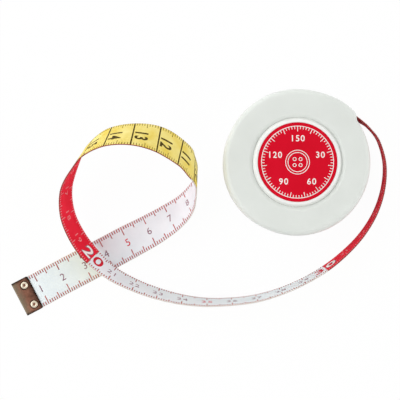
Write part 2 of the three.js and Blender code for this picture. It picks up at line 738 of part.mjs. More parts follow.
function place(name, body, look, parent = model, x = 0, y = 0) {
  const mesh = new THREE.Mesh(geometryOf(body), new THREE.MeshStandardMaterial(look));
  mesh.name = name;
  mesh.position.set(x, y, 0);
  parent.add(mesh);
}

const springRings = powerSpringRings();
const buttonCoil = coilRings();

place('rear_shell', rearShell(), CASE_WHITE);
place('front_shell', frontShell(), CASE_WHITE);
place('spring_arbor', springArbor(), SPOOL_PLASTIC);
place('arbor_screw', arborScrew(), SPRING_STEEL);
place('spool_drum', spoolDrum(), SPOOL_PLASTIC);
place('spool_cover', spoolCover(), SPOOL_PLASTIC);
place('power_spring', solid(loft(springRings)), SPRING_STEEL);
place('tape_anchor_pin', anchorPin(), SPRING_STEEL);
place('tape_winding', solid(loft(windingRings)), TAPE_WHITE);
place('tape_lead_in', solid(loft(leadRings)), TAPE_WHITE);
place('tape_free', freeTape(), TAPE_WHITE);
place('push_button', pushButton(), CASE_WHITE);
place('button_label', buttonLabel(), LABEL_RED);
place('brake_disc', brakeDisc(), SPOOL_PLASTIC);
place('brake_pad', brakePad(), PAD_RUBBER);
place('retaining_ring', retainingRing(), SPRING_STEEL);
place('button_spring', solid(loft(buttonCoil)), SPRING_STEEL);
place('end_clip', endClip(), CLIP_BRONZE, clipGroup);
rivetSides.forEach((side, i) => {
  place(`clip_rivet_${i + 1}`, clipRivet(), RIVET_NICKEL, clipGroup, RIVET_SETBACK, side);
});
model.add(clipGroup);

function printGap(name, rings, loopSteps, thickness) {
  console.log(`least gap in the ${name}: ${leastGap(rings, loopSteps, thickness).toFixed(2)} mm`);
}

console.log(`free tape ${routeCurve.getLength().toFixed(1)} mm, wound tape ${woundLength.toFixed(1)} mm`);
console.log(`${windingTurns.toFixed(2)} turns of tape, ${stripTurns} turns of power spring`);
printGap('winding', windingRings, LOOP_STEPS, TAPE_THICKNESS);
printGap('power spring', springRings, LOOP_STEPS, STRIP_THICKNESS);
printGap('button spring', buttonCoil, CURL_STEPS, COIL_WIRE_RADIUS * 2);

export default model;
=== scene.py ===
# %% [markdown]
# # A spring-return tape measure for sewing
# A round white case holds a sprung spool. The tape has been pulled out and lies in a loop on the table,
# with a riveted metal clip on its end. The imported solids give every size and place; this lesson dresses
# them, piece by piece, with surfaces worked out as whole numpy arrays.

# %% Load the frame
import json
import math

import bmesh
import bpy
import numpy as np
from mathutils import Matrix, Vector

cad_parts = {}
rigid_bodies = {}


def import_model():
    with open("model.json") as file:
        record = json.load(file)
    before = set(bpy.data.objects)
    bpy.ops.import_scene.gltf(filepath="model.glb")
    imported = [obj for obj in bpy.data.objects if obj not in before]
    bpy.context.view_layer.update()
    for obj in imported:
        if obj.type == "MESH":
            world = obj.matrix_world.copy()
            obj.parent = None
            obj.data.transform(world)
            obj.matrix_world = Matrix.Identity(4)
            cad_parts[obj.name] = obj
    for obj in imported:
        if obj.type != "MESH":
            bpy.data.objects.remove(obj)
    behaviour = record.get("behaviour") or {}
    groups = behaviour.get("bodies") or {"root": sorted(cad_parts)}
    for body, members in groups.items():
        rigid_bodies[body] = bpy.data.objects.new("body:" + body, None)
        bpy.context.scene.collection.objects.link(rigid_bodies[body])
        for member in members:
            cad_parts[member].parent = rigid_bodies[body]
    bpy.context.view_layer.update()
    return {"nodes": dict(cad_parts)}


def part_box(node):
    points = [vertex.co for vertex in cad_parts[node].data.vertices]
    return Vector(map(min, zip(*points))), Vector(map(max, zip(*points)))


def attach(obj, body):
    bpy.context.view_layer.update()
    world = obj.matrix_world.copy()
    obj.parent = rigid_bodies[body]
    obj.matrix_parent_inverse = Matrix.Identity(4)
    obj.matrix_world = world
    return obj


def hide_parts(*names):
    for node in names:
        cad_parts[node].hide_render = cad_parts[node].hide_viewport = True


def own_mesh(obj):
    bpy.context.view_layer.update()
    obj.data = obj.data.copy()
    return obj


for leftover in list(bpy.data.objects):
    bpy.data.objects.remove(leftover)
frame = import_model()
MM = 0.001
UP = np.array([0.0, 0.0, 1.0])

# %% [markdown]
# ## The camera
# The photograph looks straight down from a little way off, so the tall case leans away from the middle of
# the picture and the raised loop looks wider than the tape on the table. A parallel view from above would
# be simpler, but it would lose both. A camera at that height with the matching lens gives the same
# perspective, so nothing else has to be bent to fit.

# %% Camera
CAMERA_PLACE = (-37.63 * MM, -14.61 * MM, 400 * MM)
FOCAL_PIXELS = 984
IMAGE_PIXELS = 400
SENSOR = 36
NEAREST = 10 * MM

camera = bpy.data.objects.new("camera", bpy.data.cameras.new("camera"))
camera.data.sensor_width = SENSOR
camera.data.lens = FOCAL_PIXELS / IMAGE_PIXELS * SENSOR
camera.data.clip_start = NEAREST
camera.location = CAMERA_PLACE
bpy.context.scene.collection.objects.link(camera)
bpy.context.scene.camera = camera
print("lens:", round(camera.data.lens, 2), "mm")

# %% [markdown]
# ## Short ways to make a mesh
# Every new piece here is either a grid of points, closed on itself where the surface is, or flat print
# carried onto a surface. Such shapes could be pulled about by hand, but as arrays each is a formula that
# can be read and changed. Short functions turn the arrays into a mesh, merge the points that fall together
# at poles and folded-up edges, and hand the finished piece to the body that carries it.

# %% Mesh helpers
MERGE = 1e-7
SHARP_ANGLE = 40


def unit(vectors):
    """Each vector divided by its length."""
    return vectors / np.linalg.norm(vectors, axis=-1, keepdims=True)


def grid_faces(rows, columns, close_rows=False, close_columns=False):
    """Quads of a grid: point (i, j) joins (i + 1, j), (i + 1, j + 1) and (i, j + 1). Where the grid is
    closed, the last row or column joins the first."""
    down = np.arange(rows if close_rows else rows - 1)
    beside = np.arange(columns if close_columns else columns - 1)
    i, j = np.meshgrid(down, beside, indexing="ij")
    k, m = (i + 1) % rows, (j + 1) % columns
    quads = np.stack([i * columns + j, k * columns + j, k * columns + m, i * columns + m], axis=-1)
    return quads.reshape(-1, 4)


def tube_faces(rows, columns):
    """Faces of a tube with flat ends: the grid, closed round each ring, and the first and last ring as
    caps."""
    caps = [list(range(columns)), list(range((rows - 1) * columns, rows * columns))]
    return grid_faces(rows, columns, close_columns=True).tolist() + caps


def new_mesh(name, points, faces, attributes=None):
    """A mesh of these points and faces, with one number per point for each attribute."""
    mesh = bpy.data.meshes.new(name)
    mesh.from_pydata(np.reshape(points, (-1, 3)).tolist(), [], [list(face) for face in faces])
    for key, values in (attributes or {}).items():
        layer = mesh.attributes.new(key, "FLOAT", "POINT")
        layer.data.foreach_set("value", np.ravel(values).astype(np.float32))
    return mesh


def close_up(mesh, merge=True):
    """Turns all faces outwards, after merging points that fall together and dropping faces without area."""
    work = bmesh.new()
    work.from_mesh(mesh)
    if merge:
        bmesh.ops.remove_doubles(work, verts=work.verts, dist=MERGE)
        bmesh.ops.dissolve_degenerate(work, edges=work.edges, dist=MERGE)
    bmesh.ops.recalc_face_normals(work, faces=work.faces)
    work.to_mesh(mesh)
    work.free()
    return mesh


def new_piece(mesh, materials, body, replaces=()):
    """An object at the origin that wears these materials, rides on a body and stands for the nodes that it
    replaces."""
    for material in materials:
        mesh.materials.append(material)
    mesh.shade_smooth()
    mesh.set_sharp_from_angle(angle=math.radians(SHARP_ANGLE))
    piece = bpy.data.objects.new(mesh.name, mesh)
    bpy.context.scene.collection.objects.link(piece)
    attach(piece, body)
    if replaces:
        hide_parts(*replaces)
    print(f"{mesh.name}: {len(mesh.polygons)} faces on {body}")
    return piece


def about_axis(radius, angle, height):
    """Places about the Z axis: (r cos a, r sin a, z) for each radius r, angle a in radians and height z."""
    places = np.broadcast_arrays(radius * np.cos(angle), radius * np.sin(angle), height)
    return np.stack(places, axis=-1)


def lathe(profile, steps):
    """Points and faces of a profile of (radius, height) turned about Z: the same profile at each of the
    even steps of a turn, the last joined to the first."""
    angle = np.arange(steps)[:, None] * 2 * math.pi / steps
    points = about_axis(profile[:, 0], angle, profile[:, 1])
    return points, grid_faces(steps, len(profile), close_rows=True)


def arc(centre, radius, start, end, steps):
    """Points on a circle in the profile plane: centre + radius (cos a, sin a), with a from start to end in
    degrees."""
    angle = np.radians(np.linspace(start, end, steps))
    return np.array(centre) + radius * np.stack([np.cos(angle), np.sin(angle)], axis=-1)


# %% [markdown]
# ## Node trees in few words
# A material is one Principled shader, and everything that changes over the surface is worked out by small
# nodes in front of it. Each node and link could be written out, which takes many lines. This helper adds
# one node per call and links whatever it is given, so a formula reads as a formula.

# %% Node helper
MIX_COLOUR_INPUTS = (0, 6, 7)
MIX_COLOUR_OUTPUT = 2


class Nodes:
    """Writes a node tree: each call adds a node, links or sets its inputs and returns its output."""

    def __init__(self, tree):
        """Keeps the tree that the calls write to."""
        self.tree = tree

    def feed(self, socket, value):
        """Links an output to a socket, or sets the socket to a plain value."""
        if isinstance(value, bpy.types.NodeSocket):
            self.tree.links.new(value, socket)
        else:
            socket.default_value = value

    def add(self, kind, settings=None, output=0, **inputs):
        """A node of any kind, with settings and inputs by name, and its output or, for None, all of them."""
        node = self.tree.nodes.new(kind)
        for key, value in (settings or {}).items():
            setattr(node, key, value)
        for key, value in inputs.items():
            self.feed(node.inputs[key.replace("_", " ")], value)
        return node.outputs if output is None else node.outputs[output]

    def math(self, operation, *values):
        """One step of arithmetic."""
        node = self.tree.nodes.new("ShaderNodeMath")
        node.operation = operation
        for socket, value in zip(node.inputs, values):
            self.feed(socket, value)
        return node.outputs[0]

    def mix(self, share, low, high):
        """A colour that goes from low to high with the share."""
        node = self.tree.nodes.new("ShaderNodeMix")
        node.data_type = "RGBA"
        for place, value in zip(MIX_COLOUR_INPUTS, (share, low, high)):
            self.feed(node.inputs[place], value)
        return node.outputs[MIX_COLOUR_OUTPUT]

    def span(self, value, low, high):
        """A value from 0 to 1 spread out from low to high: low + (high - low) x value."""
        return self.add("ShaderNodeMapRange", Value=value, To_Min=low, To_Max=high)

    def attribute(self, name):
        """A number stored on the points of the mesh."""
        return self.add("ShaderNodeAttribute", {"attribute_name": name}, "Fac")

    def group(self, tree, output, **inputs):
        """A shared effect, with its output or, for None, all of them."""
        return self.add("ShaderNodeGroup", {"node_tree": tree}, output, **inputs)


def new_group(name, inputs, outputs):
    """An empty node group with number sockets, its helper, and the sockets for what it is given and what
    it puts out."""
    tree = bpy.data.node_groups.new(name, "ShaderNodeTree")
    for key, value in inputs.items():
        tree.interface.new_socket(key, in_out="INPUT", socket_type="NodeSocketFloat").default_value = value
    for key in outputs:
        tree.interface.new_socket(key, in_out="OUTPUT", socket_type="NodeSocketFloat")
    given = tree.nodes.new("NodeGroupInput").outputs
    out = tree.nodes.new("NodeGroupOutput").inputs
    return tree, Nodes(tree), given, out


def new_material(name, roughness, metallic=0.0, **sockets):
    """A material with one Principled shader. Numbers that are the same all over go straight onto its
    sockets."""
    material = bpy.data.materials.new(name)
    material.use_nodes = True
    shader = material.node_tree.nodes["Principled BSDF"]
    shader.inputs["Roughness"].default_value = roughness
    shader.inputs["Metallic"].default_value = metallic
    for key, value in sockets.items():
        shader.inputs[key.replace("_", " ")].default_value = value
    return material, Nodes(material.node_tree), shader.inputs


def colour(red, green, blue):
    """A colour as it looks on screen, 0 to 255, in the linear numbers that shaders use: its share of 255
    over 12.92 where dark, and else the share plus 0.055, over 1.055, to the power of 2.4."""
    share = np.array([red, green, blue]) / 255
    linear = np.where(share <= 0.04045, share / 12.92, ((share + 0.055) / 1.055) ** 2.4)
    return (*linear.tolist(), 1.0)


# %% [markdown]
# ## Shared effects
# Moulding leaves plastic and metal slightly mottled and finely grained. The tape is cloth under a thin
# coat, so its threads still show as a fine weave. A mask along an edge paints shade onto the colour: in the
# button's groove, along the clip's lip, round and in the rivets, and darker towards the clip's side rims.
# Each effect could be built again in every material that shows it; as a node group it is written once,
# with its scales as inputs.

# %% Moulded unevenness
NOISE_LOW = 0.3
NOISE_HIGH = 0.7
NOISE_DETAIL = 3.0
MOULDED_SCALES = {"Tone Scale": 90.0, "Grain Scale": 2500.0}


def moulding_group():
    """Tone is slow noise, Grain is fine noise, both on object coordinates and stretched to fill 0 to 1:
    each is (noise - low) / (high - low)."""
    tree, nodes, given, out = new_group("moulding", MOULDED_SCALES, ["Tone", "Grain"])
    place = nodes.add("ShaderNodeTexCoord", output="Object")
    for key in ("Tone", "Grain"):
        scale = given[key + " Scale"]
        noise = nodes.add("ShaderNodeTexNoise", Vector=place, Scale=scale, Detail=NOISE_DETAIL)
        filled = nodes.add("ShaderNodeMapRange", Value=noise, From_Min=NOISE_LOW, From_Max=NOISE_HIGH)
        nodes.feed(out[key], filled)
    return tree


# %% Weave
THREAD_PITCH_MM = 0.5


def weave_group():
    """Threads over and under: Height = 0.5 + 0.5 sin(2 pi along / pitch) sin(2 pi across / pitch)."""
    tree, nodes, given, out = new_group("weave", {"Pitch": THREAD_PITCH_MM}, ["Height"])
    waves = []
    for name in ("along_mm", "across_mm"):
        turns = nodes.math("DIVIDE", nodes.attribute(name), given["Pitch"])
        waves.append(nodes.math("SINE", nodes.math("MULTIPLY", turns, 2 * math.pi)))
    product = nodes.math("MULTIPLY", *waves)
    nodes.feed(out["Height"], nodes.math("MULTIPLY_ADD", product, 0.5, 0.5))
    return tree


# %% Painted edge shade
EDGE_SHADE_DETAIL = 4.0
EDGE_SHADE_SIZES = {"Width": 1.0, "Scale": 900.0}


# Painted shade: where this mask is high, a material turns to a darker colour near an edge.
def wear_group():
    """Mask fades from a rim over Width millimetres, broken up by noise: (1 - rim / width) + noise - 0.5
    within that width, held between 0 and 1, and 0 beyond it."""
    tree, nodes, given, out = new_group("painted edge shade", EDGE_SHADE_SIZES, ["Mask"])
    place = nodes.add("ShaderNodeTexCoord", output="Object")
    noise = nodes.add("ShaderNodeTexNoise", Vector=place, Scale=given["Scale"], Detail=EDGE_SHADE_DETAIL)
    near = nodes.math("SUBTRACT", 1.0, nodes.math("DIVIDE", nodes.attribute("rim_mm"), given["Width"]))
    ragged = nodes.math("ADD", nodes.math("MAXIMUM", near, 0.0), nodes.math("SUBTRACT", noise, 0.5))
    held = nodes.math("MULTIPLY", ragged, nodes.math("GREATER_THAN", near, 0.0))
    nodes.feed(out["Mask"], nodes.add("ShaderNodeClamp", Value=held))
    return tree


MOULDING = moulding_group()
WEAVE = weave_group()
EDGE_SHADE = wear_group()
print("node groups:", [group.name for group in bpy.data.node_groups])

# %% [markdown]
# ## Plastics, metals and rubber
# The case is a satin white with a hint of green, the button a cleaner white with painted shade towards the
# groove round it. Springs and pins are bare steel, and the clip is bronzed, with painted shade along its
# lip, a painted shadow round its rivets, a painted reflection near its fold and darker towards its side
# rims.
# The brake's ring is black rubber. One flat colour could do for each from afar, but moulded parts are never
# quite even. So colour, roughness and height all drift a little with the same two noises. Print is ink,
# matt and nearly without gloss.

# %% Plain finishes
BUMP_DEPTH = 0.05 * MM
FULL_METAL = 1.0
GLOW_DEPTH = 2.0 * MM
EVEN_GLOW = (1.0, 1.0, 1.0)
INK_GLOSS = 0.1


def dress(nodes, shader, base, grain, roughness, bump, height=None, depth=BUMP_DEPTH):
    """Feeds a shader: its base colour, a roughness that goes from the first to the second given with the
    grain, and a surface lifted by the grain or by another height."""
    nodes.feed(shader["Base Color"], base)
    nodes.feed(shader["Roughness"], nodes.span(grain, *roughness))
    raised = grain if height is None else height
    nodes.feed(shader["Normal"], nodes.add("ShaderNodeBump", Strength=bump, Distance=depth, Height=raised))


def moulded(name, dark, light, roughness, bump, metallic=0.0, groove_shade=None, **sockets):
    """Colour runs from dark to light with the tone, roughness spans the two given, and grain lifts the
    surface. A groove shade, a colour and a width, is painted shade: the colour turns to it along the rim as
    the edge mask says."""
    material, nodes, shader = new_material(name, roughness[0], metallic, **sockets)
    uneven = nodes.group(MOULDING, None)
    base = nodes.mix(uneven["Tone"], dark, light)
    # Painted shade along the rim, towards the groove.
    if groove_shade:
        base = nodes.mix(nodes.group(EDGE_SHADE, "Mask", Width=groove_shade[1]), base, groove_shade[0])
    dress(nodes, shader, base, uneven["Grain"], roughness, bump)
    return material


CASE_PLASTIC = moulded(
    "case_plastic", colour(222, 226, 221), colour(226, 230, 225), roughness=(0.36, 0.48), bump=0.12,
    Subsurface_Weight=0.4, Subsurface_Scale=GLOW_DEPTH, Subsurface_Radius=EVEN_GLOW)
# The button's rim is painted a little darker towards the groove, as shade.
BUTTON_PLASTIC = moulded(
    "button_plastic", colour(238, 239, 236), colour(243, 244, 241), roughness=(0.3, 0.4), bump=0.08,
    groove_shade=(colour(226, 229, 223), 1.0))
SPOOL_PLASTIC = moulded(
    "spool_plastic", colour(180, 184, 186), colour(196, 200, 201), roughness=(0.45, 0.6), bump=0.2)
SPRING_STEEL = moulded(
    "spring_steel", colour(132, 137, 142), colour(156, 160, 164), roughness=(0.22, 0.38), bump=0.1,
    metallic=FULL_METAL)
PAD_RUBBER = moulded("pad_rubber", colour(34, 34, 36), colour(50, 50, 52), roughness=(0.75, 0.95), bump=0.5)
LABEL_RED = moulded(
    "label_red", colour(206, 4, 33), colour(214, 8, 39), roughness=(0.4, 0.5), bump=0.05,
    Specular_IOR_Level=INK_GLOSS)


def ink(name, dark, light):
    """Printing ink: matt, and hardly bright enough to mirror anything."""
    return moulded(name, dark, light, roughness=(0.55, 0.65), bump=0.05, Specular_IOR_Level=INK_GLOSS)


INK_WHITE = ink("ink_white", colour(240, 234, 230), colour(250, 246, 242))
INK_ROSE = ink("ink_rose", colour(228, 116, 124), colour(238, 142, 146))
INK_RED = ink("ink_red", colour(198, 18, 42), colour(212, 28, 52))
INK_BROWN = ink("ink_brown", colour(176, 88, 82), colour(192, 104, 96))
INK_PLUM = ink("ink_plum", colour(138, 100, 114), colour(156, 118, 130))
INK_UMBER = ink("ink_umber", colour(62, 50, 16), colour(84, 68, 24))
INK_OLIVE = ink("ink_olive", colour(136, 114, 38), colour(156, 132, 50))


# %% Metals with painted edge shade
METAL_TONE = 420.0
METAL_GRAIN = 5200.0
METAL_EDGE_NOISE = 700.0
METAL_BUMP = 0.2
# Painted reflection: the fold's olive fades out over these millimetres from the fold.
FOLD_REFLECTION_MM = (0.8, 3.6)


def worn_metal(name, dark, light, rim, roughness, width, fold=None):
    """A metal whose colour drifts from dark to light and turns to the rim's colour, a painted shade, where
    the edge mask says. A folded one first turns to the fold's colour, a painted reflection, over the few
    millimetres from its fold."""
    material, nodes, shader = new_material(name, roughness[0], FULL_METAL)
    uneven = nodes.group(MOULDING, None, Tone_Scale=METAL_TONE, Grain_Scale=METAL_GRAIN)
    rim_shade = nodes.group(EDGE_SHADE, "Mask", Width=width, Scale=METAL_EDGE_NOISE)
    base = nodes.mix(uneven["Tone"], dark, light)
    if fold:
        ragged = nodes.math("ADD", nodes.attribute("fold_mm"), uneven["Tone"])
        near = nodes.add("ShaderNodeMapRange", Value=ragged, From_Min=FOLD_REFLECTION_MM[0], From_Max=FOLD_REFLECTION_MM[1],
                         To_Min=1.0, To_Max=0.0)
        base = nodes.mix(near, base, fold)
    dress(nodes, shader, nodes.mix(rim_shade, base, rim), uneven["Grain"], roughness, METAL_BUMP)
    return material


# Painted shade: the dark rim colour along the lip and round the rivets; painted reflection: the fold's
# olive.
CLIP_BRONZE = worn_metal(
    "clip_bronze", colour(106, 72, 58), colour(144, 100, 82), rim=colour(28, 19, 16),
    roughness=(0.3, 0.46), width=1.2, fold=colour(114, 104, 87))
# The rivets' rim colour is painted shade in the hole and on the ring's flanks.
RIVET_NICKEL = worn_metal(
    "rivet_nickel", colour(186, 173, 152), colour(212, 200, 181), rim=colour(84, 72, 60),
    roughness=(0.2, 0.34), width=0.35)
print("plain finishes and metals:", len(bpy.data.materials))

# %% [markdown]
# ## The tape's cloth
# The front is printed in blocks of ten centimetres, white and red in turn, and the back is yellow all
# along. The blocks could be separate lengths of tape, but it is one coated cloth with one weave. So the
# tape's own measures, along and across, are stored on its points, and the blocks follow from them: the
# share of twenty centimetres that has passed says which colour it is.

# %% Tape finishes
BLOCK = 100.0
TAPE_WHITE = (colour(233, 242, 246), colour(241, 249, 252))
TAPE_RED = (colour(228, 28, 52), colour(240, 40, 64))
TAPE_YELLOW = (colour(233, 206, 86), colour(249, 235, 154))
TAPE_CUT = (colour(218, 212, 204), colour(232, 226, 219))
TAPE_CUT_RED = (colour(142, 60, 55), colour(160, 74, 66))
THREAD_COLOUR = colour(120, 96, 84)
THREAD_SHADE = 0.06
WEAVE_BUMP = 0.35
WEAVE_DEPTH = 0.04 * MM
TAPE_GLOSS = 0.03
TAPE_ROUGHNESS = (0.6, 0.75)
TAPE_TONE = 140.0
TAPE_GRAIN = 4000.0


def tape_finish(name, paint):
    """Coated cloth: paint gives the colour from the nodes and the slow tone, and the weave shades and lifts
    the threads."""
    material, nodes, shader = new_material(name, TAPE_ROUGHNESS[0], Specular_IOR_Level=TAPE_GLOSS)
    uneven = nodes.group(MOULDING, None, Tone_Scale=TAPE_TONE, Grain_Scale=TAPE_GRAIN)
    threads = nodes.group(WEAVE, "Height")
    shade = nodes.span(threads, 0.0, THREAD_SHADE)
    base = nodes.mix(shade, paint(nodes, uneven["Tone"]), THREAD_COLOUR)
    dress(nodes, shader, base, uneven["Grain"], TAPE_ROUGHNESS, WEAVE_BUMP, threads, WEAVE_DEPTH)
    return material


def red_block(nodes):
    """1 where along / 20 cm has a fraction over one half."""
    share = nodes.math("FRACT", nodes.math("DIVIDE", nodes.attribute("along_mm"), BLOCK * 2))
    return nodes.math("GREATER_THAN", share, 0.5)


def front_paint(nodes, tone):
    """White and red by turns."""
    return nodes.mix(red_block(nodes), nodes.mix(tone, *TAPE_WHITE), nodes.mix(tone, *TAPE_RED))


def back_paint(nodes, tone):
    """Yellow all along."""
    return nodes.mix(tone, *TAPE_YELLOW)


def cut_paint(nodes, tone):
    """Bare cloth, as it shows where the tape was slit to its width, stained where the front is red."""
    return nodes.mix(red_block(nodes), nodes.mix(tone, *TAPE_CUT), nodes.mix(tone, *TAPE_CUT_RED))


TAPE_FINISHES = [
    tape_finish("tape_front", front_paint),
    tape_finish("tape_back", back_paint),
    tape_finish("tape_cut", cut_paint),
]
print("materials:", len(bpy.data.materials))

# %% [markdown]
# ## The route of the tape
# The tape starts flat on the table at its clip, turns up on its edge, goes once round in a raised loop,
# crosses over its own start and runs on its edge to the mouth of the case. A curve with a bevel could
# follow that, but its twist is hard to steer. Here each row of the route gives the middle of the tape, the
# height of its lower edge and how far it leans: 90 degrees lies flat with the front up, 0 stands upright.
# A smooth curve through the rows, and the directions across and out of the tape at each step, are all that
# the rest needs.

# %% Route
TAPE_WIDTH = 14 * MM
TAPE_THICKNESS = 0.4 * MM
CLIP_REACH = 0.6 * MM
SPAN_STEPS = 24
ROUTE = np.array([
    (-0.1104, -0.0549, 0.0008, 90),
    (-0.1020, -0.0505, 0.0008, 90),
    (-0.0933, -0.0458, 0.0005, 90),
    (-0.0845, -0.0412, 0.00035, 90),
    (-0.0756, -0.0365, 0.0005, 89),
    (-0.0667, -0.0317, 0.0005, 81),
    (-0.0582, -0.0272, 0.0006, 70),
    (-0.0497, -0.0220, 0.0006, 58),
    (-0.0436, -0.0170, 0.0013, 41),
    (-0.0399, -0.0112, 0.0037, 19),
    (-0.0389, -0.0062, 0.0084, -4),
    (-0.0405, -0.0017, 0.0140, -26),
    (-0.0445, 0.0031, 0.0189, -40),
    (-0.0530, 0.0082, 0.0231, -46),
    (-0.0631, 0.0102, 0.0236, -39),
    (-0.0733, 0.0092, 0.0204, -30),
    (-0.0812, 0.0050, 0.0152, -15),
    (-0.0862, -0.0012, 0.0105, -2),
    (-0.0902, -0.0103, 0.0064, 10),
    (-0.0901, -0.0200, 0.0039, 17),
    (-0.0866, -0.0289, 0.0021, 21),
    (-0.0808, -0.0369, 0.0013, 22),
    (-0.0731, -0.0436, 0.0010, 18),
    (-0.0646, -0.0482, 0.0007, 15),
    (-0.0554, -0.0517, 0.0005, 13),
    (-0.0456, -0.0542, 0.0004, 10.5),
    (-0.0356, -0.0554, 0.0003, 8),
    (-0.0257, -0.0552, 0.0003, 6.5),
    (-0.0157, -0.0540, 0.0003, 6),
    (-0.0061, -0.0513, 0.0003, 5),
    (0.0033, -0.0473, 0.0003, 4),
    (0.0125, -0.0419, 0.0003, 3.5),
    (0.0205, -0.0354, 0.0003, 2),
    (0.0272, -0.0281, 0.0003, 0),
    (0.0324, -0.0194, 0.0005, -2),
    (0.0353, -0.0098, 0.0010, -4),
    (0.0357, -0.0001, 0.0017, -6),
    (0.0331, 0.0088, 0.0025, -7),
    (0.0293, 0.0138, 0.0028, -7),
    (0.0261, 0.0163, 0.0029, -4),
    (0.0226, 0.0184, 0.0030, 0),
])


def smooth_curve(rows, steps):
    """Catmull-Rom curve: between rows b and c, with a before and d after, the point at share t is half of
    2b + (c - a) t + (2a - 5b + 4c - d) t^2 + (3b - a - 3c + d) t^3. The ends go on straight by one row."""
    held = np.vstack([2 * rows[0] - rows[1], rows, 2 * rows[-1] - rows[-2]])
    a, b, c, d = (held[i:len(held) - 3 + i, None] for i in range(4))
    t = np.arange(steps)[None, :, None] / steps
    spans = (2 * b + (c - a) * t + (2 * a - 5 * b + 4 * c - d) * t**2 + (3 * b - a - 3 * c + d) * t**3) / 2
    return np.vstack([spans.reshape(-1, rows.shape[1]), rows[-1:]])


def run_length(points):
    """Length along a line of points: the running sum of the steps between them, from 0."""
    steps = np.linalg.norm(np.diff(points, axis=0), axis=1)
    return np.concatenate([[0.0], np.cumsum(steps)])


def route_frame():
    """Middle, across and front of the tape at each step. Right is heading x up, upright is right x heading,
    across is sin(lean) right + cos(lean) upright, and front is across x heading."""
    lift = ROUTE[:, 2] + TAPE_WIDTH / 2 * np.cos(np.radians(ROUTE[:, 3]))
    curve = smooth_curve(np.column_stack([ROUTE[:, :2], lift, ROUTE[:, 3]]), SPAN_STEPS)
    middle, lean = curve[:, :3], np.radians(curve[:, 3:])
    heading = unit(np.gradient(middle, axis=0))
    right = unit(np.cross(heading, UP))
    across = np.sin(lean) * right + np.cos(lean) * np.cross(right, heading)
    return middle, across, np.cross(across, heading)


MIDDLE, ACROSS, FRONT = route_frame()
ALONG = CLIP_REACH + run_length(MIDDLE)


def on_tape(along, across, lift):
    """Places in the tape's own measures: middle + across x its direction + lift x the front's, each read
    off at the length along."""
    middle, sideways, outward = (
        np.stack([np.interp(along, ALONG, table[:, i]) for i in range(3)], axis=-1)
        for table in (MIDDLE, ACROSS, FRONT)
    )
    return middle + sideways * np.asarray(across)[..., None] + outward * np.asarray(lift)[..., None]


# %% [markdown]
# ## The strip itself
# In section the tape is a flat band with rounded edges. A flat sheet with a thickness added would be
# quicker, but its edges would be square. The section carried along the route gives one closed mesh with
# three kinds of faces: front, back and the cut edges between them.

# %% Strip
FLAT_STEPS = 8
EDGE_STEPS = 6
ON_FRONT, ON_BACK, ON_CUT = range(len(TAPE_FINISHES))


def strip_section():
    """Across and lift of the section, once round: front, far edge as half a circle, back, near edge."""
    round_off = TAPE_THICKNESS / 2
    half = TAPE_WIDTH / 2 - round_off
    flat = np.linspace(-half, half, FLAT_STEPS + 1)
    turn = np.radians(np.linspace(90, -90, EDGE_STEPS + 1)[1:-1])
    edge = half + round_off * np.cos(turn)
    across = np.concatenate([flat, edge, flat[::-1], -edge])
    rise = round_off * np.sin(turn)
    level = np.full(FLAT_STEPS + 1, round_off)
    return across, np.concatenate([level, rise, -level, rise[::-1]])


def strip_mesh(name, middle, across, front, along):
    """The section carried along: each ring is middle + across a + front l, joined to the next and
    capped."""
    width, lift = strip_section()
    rings = middle[:, None] + across[:, None] * width[:, None] + front[:, None] * lift[:, None]
    rows, columns = rings.shape[:2]
    measures = {
        "along_mm": np.repeat(along / MM, columns),
        "across_mm": np.tile(width / MM, rows),
    }
    mesh = new_mesh(name, rings, tube_faces(rows, columns), measures)
    once_round = np.repeat([ON_FRONT, ON_CUT, ON_BACK, ON_CUT], [FLAT_STEPS, EDGE_STEPS] * 2)
    kinds = np.concatenate([np.tile(once_round, rows - 1), [ON_CUT, ON_CUT]]).astype(np.int32)
    mesh.polygons.foreach_set("material_index", kinds)
    return close_up(mesh, merge=False)


free_strip = strip_mesh("tape_strip", MIDDLE, ACROSS, FRONT, ALONG)
tape = new_piece(free_strip, TAPE_FINISHES, "case", ["tape_free"])

# %% [markdown]
# ## Digits
# The scale needs digits. They could be drawn stroke by stroke, but Blender's own typeface already has
# their outlines. Each is scaled to be one unit tall and cut into narrow slices, so that it can follow a
# bend. A number is then its digits side by side, and print is a thin film of ink: flat faces carried onto
# a surface and given a little thickness.

# %% Digits
PLAIN, BOLD, STOUT, HALO = 0.0, 0.014, 0.032, 0.05
DIGIT_SLICES = 8
DIGIT_ADVANCE = 0.86
DIGIT_MERGE = 1e-5


def points_of(mesh):
    """The places of a mesh's points as one array."""
    places = np.empty(len(mesh.vertices) * 3, dtype=np.float32)
    mesh.vertices.foreach_get("co", places)
    return places.reshape(-1, 3).astype(float)


